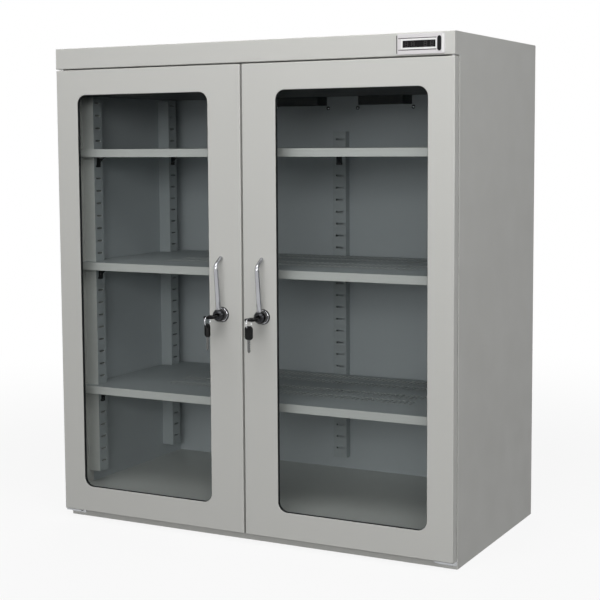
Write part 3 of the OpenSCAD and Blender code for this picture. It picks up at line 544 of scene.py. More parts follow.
@dataclass(frozen=True)
class BoardFinish(Finish):
    """Green circuit board with copper tracks under the lacquer."""

    tracks: Colour = (0.05, 0.22, 0.09)
    track_pitch: float = 160
    track_edge: float = 0.42

    def fill(self, board: NodeBoard) -> None:
        """Adds the material's nodes.

        Args:
            board: The material's node tree.
        """
        feed = {"Scale": self.track_pitch, "Vector": board.place["Object"]}
        cells = board.add("ShaderNodeTexVoronoi", feed, distance="CHEBYCHEV", feature="F1")
        line = board.add("ShaderNodeMath", {0: cells.outputs["Distance"], 1: self.track_edge},
                         operation="GREATER_THAN").outputs["Value"]
        board.feed(board.shader, {
            "Base Color": board.mix(line, self.colour, self.tracks),
            "Roughness": board.spread(board.noise(self.cloud_scale, SPARSE), *self.gloss),
            "Normal": board.relief(line, self.grain_depth, self.grain_strength)})


PAINT = Finish("powder_coat", "paint", srgb(203, 203, 199), grain_scale=420, grain_depth=0.08 * MM,
               grain_strength=0.25)
# A darker, bluer copy of the powder coat for the walls' inner faces: painted shade.
PAINTED_SHADE_WALLS = replace(PAINT, name="wall_coat", colour=srgb(174, 180, 183))
INNER_PAINT = Finish("inner_coat", "inner_paint", srgb(207, 209, 206), (0.38, 0.48), grain_scale=600)
# A darker copy of the inner coat for the uprights and the shelves' tops: painted shade.
PAINTED_SHADE_INNER = Finish("upright_coat", "inner_paint", srgb(164, 170, 172), cloud=0.02, grain_scale=600)
# Near-black coat for the inner ceiling: painted shade, for the shade under the header.
PAINTED_SHADE_CEILING = Finish("ceiling_coat", "inner_paint", srgb(38, 39, 38), (0.5, 0.6), 0.03, grain_scale=600)
BLACK_PLASTIC = Finish("black_moulding", "black_plastic", srgb(13, 13, 14), (0.4, 0.55), 0.1, 30,
                       grain_scale=1400, grain_strength=0.25, specular=0.15)
GLOSS_BLACK = Finish("display_lens", "gloss_black", srgb(11, 11, 12), (0.08, 0.12), 0.1, 20,
                     grain_scale=700, grain_strength=0.01, specular=0.15)
SEGMENTS = Finish("unlit_segments", "gloss_black", srgb(30, 28, 27), (0.3, 0.4), 0.1, 80, grain_scale=1500,
                  grain_strength=0.05)
RUBBER = Finish("seal_rubber", "rubber", srgb(44, 45, 46), (0.6, 0.75), 0.12, 12, grain_strength=0.2,
                specular=0.3)
# Dark grey for the strip beside the bezel's left edge: painted shadow.
PAINTED_SHADOW_GREY = Finish("grey_gasket", "rubber", srgb(98, 98, 97), (0.6, 0.75), 0.06, 12, grain_strength=0.2,
                     specular=0.2)
# Dark coat for the floors of the bezel's grooves: painted shade.
PAINTED_SHADE_GROOVES = Finish("groove_paint", "silver", srgb(128, 124, 126), (0.5, 0.6), 0.03, 20,
                      grain_strength=0.05, specular=0.3)
SILVER = Finish("satin_silver", "silver", srgb(222, 219, 221), (0.4, 0.5), 0.015, 10, grain_strength=0.05,
                specular=0.35)
WHITE_TRIM = Finish("white_trim", "silver", srgb(243, 243, 242), (0.3, 0.4), 0.01, 14, grain_strength=0.04,
                    specular=0.4)
# A darker copy of the lever's chrome for the rosettes, knobs and key plugs: painted dark reflection.
DARK_REFLECTION_CHROME = Finish("black_chrome", "lock_chrome", srgb(34, 35, 38), (0.06, 0.11), 0.06, 40,
                     grain_strength=0.02, metallic=1, coat=0.4)
LEVER_CHROME = Finish("polished_chrome", "lock_chrome", srgb(168, 169, 173), (0.1, 0.18), 0.05, 45,
                      grain_strength=0.03, metallic=1)
PLUG_CHROME = Finish("bright_chrome", "plug_chrome", srgb(214, 215, 218), (0.1, 0.2), 0.03, 60,
                     grain_scale=2500, grain_strength=0.03, metallic=1)
STEEL = Finish("zinc_steel", "steel", srgb(176, 178, 180), (0.28, 0.42), 0.08, 35, grain_scale=500,
               grain_strength=0.08, metallic=1)
KEY_STEEL = Finish("key_nickel", "steel", srgb(112, 113, 112), (0.25, 0.4), 0.12, 60, grain_scale=700,
                   grain_strength=0.1, metallic=1)
NYLON = Finish("white_nylon", "nylon", srgb(214, 212, 204), (0.45, 0.55), 0.03, 30, grain_scale=1100,
               grain_strength=0.1)
GLASS = GlassFinish("door_glass", "glass", srgb(64, 72, 72), (0.02, 0.02), 0.05, specular=0.6)
BOARD = BoardFinish("circuit_board", "board", srgb(24, 74, 40), (0.25, 0.35), cloud_scale=50,
                    grain_strength=0.4)


def dress(piece: Piece, finish: Finish) -> None:
    """Gives a piece one finish all over."""
    piece.data.materials.clear()
    piece.data.materials.append(finish.material())


def coat_faces(piece: Piece, finish: Finish, test: PartTest) -> None:
    """Gives the faces of a finished piece that pass a test another finish.

    Args:
        piece: The finished piece.
        finish: The other finish.
        test: Says whether a face takes it.
    """
    piece.data.materials.append(finish.material())
    pick(piece, "FACE", test)
    piece.active_material_index = 1
    bpy.ops.object.material_slot_assign()
    clear_selection()


def seat(piece: Piece, finish: Finish, body: str, *nodes: str) -> Piece:
    """Finishes a modelled piece and makes it ride on its body.

    Args:
        piece: The modelled piece, in its place.
        finish: Its finish.
        body: The body that it moves with.
        *nodes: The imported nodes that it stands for.

    Returns:
        The piece.
    """
    activate(piece)
    bpy.ops.object.shade_smooth_by_angle(angle=SMOOTH_ANGLE)
    apply_modifier(piece, "WEIGHTED_NORMAL", keep_sharp=True, weight=FACE_WEIGHT)
    dress(piece, finish)
    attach(piece, body)
    if nodes:
        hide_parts(*nodes)
    LOG.info("%s rides on %s for %s", piece.name, body, nodes or "itself")
    return piece


def left(name: str) -> str:
    """The left-hand name for a right-hand one."""
    return name.replace("right", "left")


def seat_both(piece: Piece, finish: Finish, body: str, *nodes: str, askew: float = 0) -> tuple[Piece, Piece]:
    """Seats a right-hand piece, and its mirror image on the cabinet's left.

    Args:
        piece: The right-hand piece, with a name that starts with right.
        finish: Its finish.
        body: The right-hand body.
        *nodes: The right-hand nodes that it stands for.
        askew: How far the left one is turned about its body's upright axis.

    Returns:
        Both pieces.
    """
    twin = copied(piece, left(piece.name))
    pick(twin, "VERT")
    bpy.ops.transform.resize(value=(-1, 1, 1), center_override=(0, 0, 0))
    bpy.ops.mesh.flip_normals()
    if askew:
        bpy.ops.transform.rotate(value=askew, orient_axis="Z", center_override=centre_of(left(body)))
    return seat(piece, finish, body, *nodes), seat(twin, finish, left(body), *map(left, nodes))


@dataclass
class Casing:
    """The cabinet's outer sheets: the top cover with its header, and the two side panels."""

    sheet: float = 1.2 * MM
    fold_r: float = 1.8 * MM
    header_return: float = 47 * MM
    flange: float = 30 * MM
    flange_return: float = 12 * MM
    rear_flange: float = 15 * MM
    pin_hole_r: float = 4.1 * MM
    door_set: float = 25 * MM
    inner_area: float = 0.2

    def build(self) -> None:
        """Models and seats the casing."""
        seat(self.cover(), PAINT, "cabinet", "top_cover")
        for panel in seat_both(self.side(), PAINT, "cabinet", "right_side_panel"):
            # The side panels' inner faces take the darker copy of the coat: painted shade.
            coat_faces(panel, PAINTED_SHADE_WALLS, self.looks_in)

    def looks_in(self, face: bmesh.types.BMFace) -> bool:
        """Whether a face is a side panel's inner face behind the front upright, which takes the painted shade.
        """
        return face.normal.x * face.calc_center_median().x < 0 and face.calc_area() > self.inner_area

    def cover(self) -> Piece:
        """Models the top cover, folded down into the header and back under it.

        Returns:
            The cover.
        """
        lo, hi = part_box("top_cover")
        cover = block("cover_skin", lo, hi)
        remove_faces(cover, lambda face: abs(face.normal.x) > LEVEL or looks(face, BACK))
        trim(cover, -UP, Vector((0, lo.y + self.header_return, 0)), BACK)
        pick(cover, "VERT", lambda vert: vert.co.z < lo.z + TOUCH and vert.co.y > lo.y + TOUCH)
        bpy.ops.transform.resize(value=(1 - self.sheet / hi.x, 1, 1), center_override=(0, 0, 0))
        fold(cover, folded, self.fold_r, self.sheet)
        pivot = centre_of("right_hinge_bushes")
        holes = [rod("pin_hole", Vector((way * pivot.x, pivot.y, 0)), Axis.UPRIGHT, lo.z - OVERRUN,
                     lo.z + self.sheet + OVERRUN, self.pin_hole_r) for way in (-1, 1)]
        cut(cover, self.display_opening(), *holes)
        return cover

    def display_opening(self) -> Piece:
        """The solid of the opening behind the display.

        Returns:
            The solid.
        """
        lo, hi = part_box("display_window")
        key_lo, key_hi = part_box("set_key")
        rim = Vector((OVERRUN, OVERRUN, OVERRUN))
        return block("opening", Vector((lo.x, lo.y, key_lo.z)) - rim,
                     Vector((key_hi.x, hi.y, key_hi.z)) + rim)

    def side(self) -> Piece:
        """Models the right side panel, with its folded front and rear flanges.

        Returns:
            The panel.
        """
        lo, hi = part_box("right_side_panel")
        door_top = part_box("top_cover")[0].z
        frame_y = lo.y + self.door_set - self.sheet
        to_left = -Axis.ACROSS.vector
        panel = block("right_side_skin", Vector((hi.x - self.flange, frame_y, lo.z)),
                      Vector((hi.x, hi.y, door_top)))
        remove_faces(panel, lambda face: abs(face.normal.z) > LEVEL)
        trim(panel, to_left, Vector((0, frame_y + self.flange_return, 0)), BACK)
        trim(panel, BACK, Vector((hi.x - self.rear_flange, 0, 0)), to_left)
        pick(panel, "EDGE", lambda edge: near(middle(edge).z, door_top)
             and (middle(edge).x > hi.x - TOUCH or middle(edge).y > hi.y - TOUCH))
        bpy.ops.mesh.extrude_edges_move(TRANSFORM_OT_translate={"value": UP * (hi.z - door_top)})
        pick(panel, "EDGE", lambda edge: along(Axis.UPRIGHT)(edge) and middle(edge).z > door_top
             and near(middle(edge).y, frame_y))
        bpy.ops.mesh.extrude_edges_move(TRANSFORM_OT_translate={"value": BACK * (lo.y - frame_y)})
        pick(panel, "FACE", lambda face: looks(face, -to_left))
        bpy.ops.mesh.bisect(plane_co=centre_of("front_right_upright"), plane_no=BACK)
        fold(panel, both(along(Axis.UPRIGHT), folded), self.fold_r, self.sheet)
        return panel


@dataclass
class Door:
    """The glazed doors of folded sheet, with the rubber round their glass."""

    sheet: float = 1.2 * MM
    fold_r: float = 1.6 * MM
    hem: float = 10 * MM
    hinge_margin: float = 53 * MM
    lock_margin: float = 75 * MM
    top_margin: float = 52.5 * MM
    bottom_margin: float = 54.5 * MM
    window_r: float = 20 * MM
    window_edge_r: float = 0.9 * MM
    seal_lip: float = 0.6 * MM
    seal_bead: float = 0.3 * MM
    lock_hole_r: float = 11.3 * MM
    pin_hole_r: float = 6.4 * MM

    def build(self) -> None:
        """Models and seats both doors' shells and seals."""
        seat_both(self.shell(), PAINT, "right_door", "right_door_shell")
        seat_both(self.seal(), RUBBER, "right_door", "right_glass_seal")

    def window_box(self) -> tuple[Vector, Vector]:
        """The right window's box.

        Returns:
            Its lowest and its highest corner.
        """
        lo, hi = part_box("right_door_shell")
        return (Vector((lo.x + self.lock_margin, 0, lo.z + self.bottom_margin)),
                Vector((hi.x - self.hinge_margin, 0, hi.z - self.top_margin)))

    def window(self, grow: float, front: float, back: float) -> Piece:
        """Models a solid with the window's outline.

        Args:
            grow: How far it stands beyond the window's edge.
            front: Its front plane.
            back: Its back plane.

        Returns:
            The solid.
        """
        lo, hi = self.window_box()
        solid = block("window", Vector((lo.x - grow, front, lo.z - grow)),
                      Vector((hi.x + grow, back, hi.z + grow)))
        round_edges(solid, along(Axis.DEPTH), self.window_r + grow, segments=12)
        return solid

    def window_rim(self, front: float) -> PartTest:
        """A test for the folds in a front plane that lie within the window's outline."""
        lo, hi = self.window_box()
        return lambda edge: (near(middle(edge).y, front) and lo.x - TOUCH < middle(edge).x < hi.x + TOUCH
                             and lo.z - TOUCH < middle(edge).z < hi.z + TOUCH and folded(edge))

    def shell(self) -> Piece:
        """Models the right door's sheet, folded back and hemmed on all four sides.

        Returns:
            The shell.
        """
        lo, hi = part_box("right_door_shell")
        shell = block("right_door_skin", lo, hi)
        pick(shell, "FACE", lambda face: looks(face, BACK))
        bpy.ops.mesh.inset(thickness=self.hem)
        bpy.ops.mesh.delete(type="FACE")
        fold(shell, folded, self.fold_r, self.sheet)
        cut(shell, self.window(0, lo.y - OVERRUN, lo.y + 2 * self.sheet),
            rod("lock_hole", centre_of("right_rosette"), Axis.DEPTH, lo.y - OVERRUN, hi.y + OVERRUN,
                self.lock_hole_r),
            rod("pivot_hole", centre_of("right_hinge_bushes"), Axis.UPRIGHT, lo.z - OVERRUN, hi.z + OVERRUN,
                self.pin_hole_r))
        round_edges(shell, self.window_rim(lo.y), self.window_edge_r)
        return shell

    def seal(self) -> Piece:
        """Models the right door's glazing rubber, with a bead at the window's edge.

        Returns:
            The seal.
        """
        lo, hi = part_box("right_glass_seal")
        glass_lo, glass_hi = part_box("right_door_glass")
        edge_x = self.window_box()[0].x
        seal = self.window(edge_x - lo.x, lo.y, hi.y)
        cut(seal, self.window(-self.seal_lip, lo.y - OVERRUN, hi.y + OVERRUN))
        round_edges(seal, self.window_rim(lo.y), self.seal_bead)
        cut(seal, self.window(edge_x - glass_lo.x, glass_lo.y, glass_hi.y))
        return rename(seal, "right_glazing_rubber")


@dataclass
class Lock:
    """The locks' rosettes and turning levers."""

    facets: int = 64
    rosette_inset: float = 1.6 * MM
    rosette_rim: float = 0.9 * MM
    rosette_step: float = 0.7 * MM
    rosette_angles: tuple[int, ...] = (30, 60, 90)
    collar_r: float = 13.4 * MM
    collar_lip: float = 0.8 * MM
    collar_drop: float = 0.48 * MM
    collar_angles: tuple[int, ...] = (20, 55, 90)
    sleeve_r: float = 11 * MM
    spindle_r: float = 8.06 * MM
    nut_r: float = 15 * MM
    nut_h: float = 3.5 * MM
    knob_r: float = 13.4 * MM
    knob_waist_r: float = 10.5 * MM
    knob_l: float = 21 * MM
    knob_steps: int = 22
    neck_wall: float = 1.5 * MM
    neck_edge: float = 0.5 * MM
    plug_r: float = 7.06 * MM
    plug_stand: float = 1 * MM
    socket_depth: float = 21 * MM
    running_gap: float = 0.06 * MM
    square: float = 10 * MM
    square_edge: float = 0.8 * MM
    lever_r: float = 4.5 * MM
    root_r: float = 5.2 * MM
    root_rise: float = 6 * MM
    foot_r: float = 3.6 * MM
    foot_gap: float = 1.2 * MM
    foot_shares: tuple[float, ...] = (0.4, 0.7)
    bend_set: float = 0.8 * MM
    bend_drop: float = 14 * MM
    bend_r: float = 8 * MM
    bend_steps: int = 8
    cap_steps: int = 6
    cap_quarter: float = 5.2

    def build(self) -> None:
        """Models and seats both locks."""
        # The rosette and knob take a darker chrome than the lever: painted dark reflection.
        seat_both(self.rosette(), DARK_REFLECTION_CHROME, "right_door", "right_rosette")
        seat_both(self.collar(), PLUG_CHROME, "right_door")
        seat_both(self.knob(), DARK_REFLECTION_CHROME, "right_handle", "right_handle")
        seat_both(self.lever(), LEVER_CHROME, "right_handle")

    def axis(self) -> Vector:
        """The point where the right lock's axis meets the door's front."""
        centre = centre_of("right_rosette")
        return Vector((centre.x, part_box("right_door_shell")[0].y, centre.z))

    def knob_front(self) -> float:
        """How far the knob's face stands in front of the door."""
        return self.axis().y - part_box("right_lock_plug")[0].y - self.plug_stand

    def rosette(self) -> Piece:
        """Models the right rosette with its sleeve and hexagon nut.

        Returns:
            The rosette.
        """
        lo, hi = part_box("right_rosette")
        base = self.axis()
        back = base.y - hi.y
        outer = hi.x - base.x - self.rosette_inset
        rim = self.rosette_rim
        face = base.y - lo.y - self.rosette_step
        profile = [(self.spindle_r, back), (self.sleeve_r, back), (self.sleeve_r, 0), (outer, 0),
                   (outer, face - rim), *rim_points(outer, face, rim, rim, self.rosette_angles),
                   (self.spindle_r, face), (self.spindle_r, back)]
        rosette = turned("right_rosette_ring", profile, base, FRONT, self.facets)
        nut_y = hi.y - self.nut_h
        nut = rod("nut", base, Axis.DEPTH, nut_y, hi.y - TOUCH, self.nut_r, sides=6)
        round_edges(nut, lambda edge: not along(Axis.DEPTH)(edge), self.rosette_step, segments=1)
        cut(nut, rod("bore", base, Axis.DEPTH, nut_y - OVERRUN, hi.y + OVERRUN, self.sleeve_r - TOUCH))
        return join("right_rosette_ring", [rosette, nut])

    def collar(self) -> Piece:
        """Models the bright collar that the right knob turns on.

        Returns:
            The collar.
        """
        base = self.axis()
        front = base.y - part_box("right_rosette")[0].y
        profile = [(self.spindle_r, front - self.rosette_step), (self.collar_r, front - self.rosette_step),
                   *rim_points(self.collar_r, front, self.collar_lip, self.collar_drop, self.collar_angles),
                   (self.spindle_r, front), (self.spindle_r, front - self.rosette_step)]
        return turned("right_rosette_collar", profile, base, FRONT, self.facets)

    def knob(self) -> Piece:
        """Models the right knob, a ball with a short neck, and its spindle with the square tail.

        Returns:
            The knob.
        """
        base = self.axis()
        front = self.knob_front()
        back = front - self.knob_l
        square_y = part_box("right_latch_tongue")[0].y
        bore = front - self.socket_depth
        end = base.y - square_y
        centre = back + math.sqrt(self.knob_r ** 2 - self.knob_waist_r ** 2)
        neck = self.plug_r + self.neck_wall
        first = math.acos(neck / self.knob_r)
        last = -math.acos(self.knob_waist_r / self.knob_r)
        angles = [first + (last - first) * i / self.knob_steps for i in range(self.knob_steps + 1)]
        spindle = self.spindle_r - self.running_gap
        profile = [(self.plug_r, bore), (self.plug_r, front - self.neck_edge),
                   (self.plug_r + self.neck_edge, front), (neck - self.neck_edge, front),
                   (neck, front - self.neck_edge),
                   *((self.knob_r * math.cos(a), centre + self.knob_r * math.sin(a)) for a in angles),
                   (spindle, back), (spindle, end), (0, end), (0, bore), (self.plug_r, bore)]
        ball = turned("right_knob", profile, base, FRONT, self.facets)
        square = Vector((self.square / 2, 0, self.square / 2))
        tail = block("tail", Vector((base.x, square_y - OVERRUN, base.z)) - square,
                     Vector((base.x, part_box("right_handle")[1].y, base.z)) + square)
        round_edges(tail, along(Axis.DEPTH), self.square_edge, segments=2)
        return join("right_knob", [ball, tail])

    def lever(self) -> Piece:
        """Models the right lever's bar with its rounded bend and foot.

        Returns:
            The bar.
        """
        lo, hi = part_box("right_handle")
        base = self.axis()
        bend = Vector((base.x, lo.y + self.foot_r + self.bend_set, hi.z - self.foot_r - self.bend_drop))
        foot = Vector((base.x, base.y - self.foot_gap - self.foot_r, hi.z - self.foot_r))
        root = Vector((base.x, base.y - self.knob_front() + self.knob_l / 2, base.z + self.root_rise))
        out = (foot - bend).normalized()
        start = bend - (bend - root).normalized() * self.bend_r
        stop = bend + out * self.bend_r
        shares = [i / self.bend_steps for i in range(self.bend_steps + 1)]
        path = [(root + (start - root) * t, self.root_r + (self.lever_r - self.root_r) * t)
                for t in shares[:-1]]
        path += [(start * (1 - t) ** 2 + bend * 2 * t * (1 - t) + stop * t ** 2,
                  self.lever_r + (self.foot_r - self.lever_r) * t) for t in shares]
        path += [(stop + (foot - stop) * t, self.foot_r) for t in self.foot_shares]
        path += [(foot + out * self.foot_r * math.sin(a), self.foot_r * math.cos(a))
                 for a in (math.pi / 2 * i / self.cap_quarter for i in range(self.cap_steps))]
        points, radii = zip(*path)
        return swept("right_lever_bar", points, radii, fineness=6)


@dataclass
class Keys:
    """The keys in the locks, with their split rings and spare keys."""

    bow_corner: float = 5 * MM
    bow_l: float = 25 * MM
    bow_edge: float = 0.6 * MM
    panel_inset: float = 1.8 * MM
    panel_depth: float = 0.4 * MM
    blade_t: float = 2 * MM
    blade_w: float = 8 * MM
    hole_w: float = 5 * MM
    hole_r: float = 2.25 * MM
    hole_l: float = 11.5 * MM
    hole_wall: float = 2.6 * MM
    ring_wire: float = 0.45 * MM
    ring_turns: int = 2
    ring_steps: int = 80
    ring_start: float = math.radians(70)
    ring_slope: float = 14
    spare_bow_l: float = 24.5 * MM
    spare_inset: float = 1.5 * MM
    spare_askew: float = math.radians(25)
    spare_blade_w: float = 5.6 * MM
    spare_hole_r: float = 2.6 * MM
    spare_wall: float = 2.4 * MM
    groove_w: float = 1.1 * MM
    groove_d: float = 0.45 * MM
    notch_pitch: float = 3.5 * MM
    notch_r: float = 1.92 * MM
    notch_set: float = 0.64 * MM
    notch_rows: tuple[float, ...] = (1.5, 2.5, 3.5, 4.5, 5.5)

    def build(self) -> None:
        """Models and seats the keys and rings of both locks."""
        seat_both(self.key_bow(), BLACK_PLASTIC, "right_key", "right_key")
        seat_both(self.key_blade(), KEY_STEEL, "right_key")
        seat_both(self.ring(), PLUG_CHROME, "right_key_ring", "right_key_ring")
        seat_both(self.spare_bow(), BLACK_PLASTIC, "right_spare_key", "right_spare_key",
                  askew=self.spare_askew)
        seat_both(self.spare_blade(), KEY_STEEL, "right_spare_key", askew=self.spare_askew)

    def panelled(self, bow: Piece, across: Axis, hole: Piece) -> Piece:
        """Rounds a bow's rims, sinks a grip panel in both faces and cuts its hole.

        Args:
            bow: The bow.
            across: The axis that its faces look along.
            hole: The solid of its hole.

        Returns:
            The bow.
        """
        round_edges(bow, folded, self.bow_edge, segments=2)
        for way in (-1, 1):
            pick(bow, "FACE", lambda face: looks(face, across.vector * way))
            bpy.ops.mesh.inset(thickness=self.panel_inset)
            bpy.ops.mesh.inset(thickness=self.panel_depth, depth=-self.panel_depth)
        cut(bow, hole)
        return bow

    def key_bow(self) -> Piece:
        """Models the moulded bow of the right key.

        Returns:
            The bow.
        """
        lo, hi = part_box("right_key")
        mid = centre_of("right_key")
        bow = block("right_key_bow", lo, Vector((hi.x, lo.y + self.bow_l, hi.z)))
        round_edges(bow, along(Axis.UPRIGHT), self.bow_corner, segments=8)
        hole_lo = Vector((mid.x - self.hole_w / 2, lo.y + self.hole_wall, lo.z - OVERRUN))
        hole_hi = Vector((mid.x + self.hole_w / 2, hole_lo.y + self.hole_l, hi.z + OVERRUN))
        hole = block("hole", hole_lo, hole_hi)
        round_edges(hole, along(Axis.UPRIGHT), self.hole_r, segments=6)
        return self.panelled(bow, Axis.UPRIGHT, hole)

    def key_blade(self) -> Piece:
        """Models the right key's grooved blade, which sits in the plug.

        Returns:
            The blade.
        """
        lo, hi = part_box("right_key")
        mid = centre_of("right_key")
        half = Vector((self.blade_w / 2, 0, self.blade_t / 2))
        blade = block("right_key_blade", Vector((mid.x, lo.y + self.bow_l - OVERRUN, mid.z)) - half,
                      Vector((mid.x, hi.y, mid.z)) + half)
        round_edges(blade, both(along(Axis.UPRIGHT), lying(Axis.DEPTH, hi.y)), self.blade_w / 4, segments=1)
        half = Vector((self.groove_w / 2, 0, self.groove_d))
        cut(blade, *(block("groove", Vector((mid.x, lo.y + self.bow_l + OVERRUN, z)) - half,
                           Vector((mid.x, hi.y + OVERRUN, z)) + half)
                     for z in (mid.z - self.blade_t / 2, mid.z + self.blade_t / 2)))
        return blade

    def ring(self) -> Piece:
        """Models the right split ring: two turns of wire.

        Returns:
            The ring.
        """
        lo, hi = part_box("right_key_ring")
        radius = (hi.z - lo.z) / 2 - self.ring_wire
        drift = (hi.x - lo.x) / 2 - self.ring_wire
        points = []
        for share in (i / self.ring_steps for i in range(self.ring_steps + 1)):
            angle = math.tau * self.ring_turns * share + self.ring_start
            slide = min(1, max(-1, (share - 0.5) * self.ring_slope)) * drift
            points.append((lo + hi) / 2 + Vector((slide, radius * math.cos(angle), radius * math.sin(angle))))
        return swept("right_split_ring", points, [self.ring_wire] * len(points), fineness=3)

    def spare_bow(self) -> Piece:
        """Models the moulded bow of the right spare key, which hangs on the ring.

        Returns:
            The bow.
        """
        lo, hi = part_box("right_spare_key")
        inset = Vector((self.spare_inset, 0, 0))
        bow = block("right_spare_bow", Vector((lo.x, lo.y, hi.z - self.spare_bow_l)) + inset, hi - inset)
        round_edges(bow, along(Axis.DEPTH), self.bow_corner, segments=8)
        spot = Vector(((lo.x + hi.x) / 2, 0, hi.z - self.spare_wall - self.spare_hole_r))
        hole = rod("hole", spot, Axis.DEPTH, lo.y - OVERRUN, hi.y + OVERRUN, self.spare_hole_r, sides=32)
        return self.panelled(bow, Axis.DEPTH, hole)

    def spare_blade(self) -> Piece:
        """Models the right spare key's notched blade.

        Returns:
            The blade.
        """
        lo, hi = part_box("right_spare_key")
        mid = (lo + hi) / 2
        root_z = hi.z - self.spare_bow_l
        half = Vector((self.spare_blade_w / 2, self.blade_t / 2, 0))
        blade = block("right_spare_blade", Vector((mid.x, mid.y, lo.z)) - half,
                      Vector((mid.x, mid.y, root_z + OVERRUN)) + half)
        round_edges(blade, both(along(Axis.DEPTH), lying(Axis.UPRIGHT, lo.z)), self.blade_w / 3, segments=1)
        spots = [Vector((mid.x + half.x + self.notch_set, 0, root_z - self.notch_pitch * row))
                 for row in self.notch_rows]
        cutters = [rod("notch", spot, Axis.DEPTH, lo.y, hi.y, self.notch_r, sides=4) for spot in spots]
        cutters += [block("groove", Vector((mid.x - self.groove_w, y - self.groove_d, lo.z - OVERRUN)),
                          Vector((mid.x, y + self.groove_d, root_z - OVERRUN)))
                    for y in (mid.y - self.blade_t / 2, mid.y + self.blade_t / 2)]
        cut(blade, *cutters)
        return blade


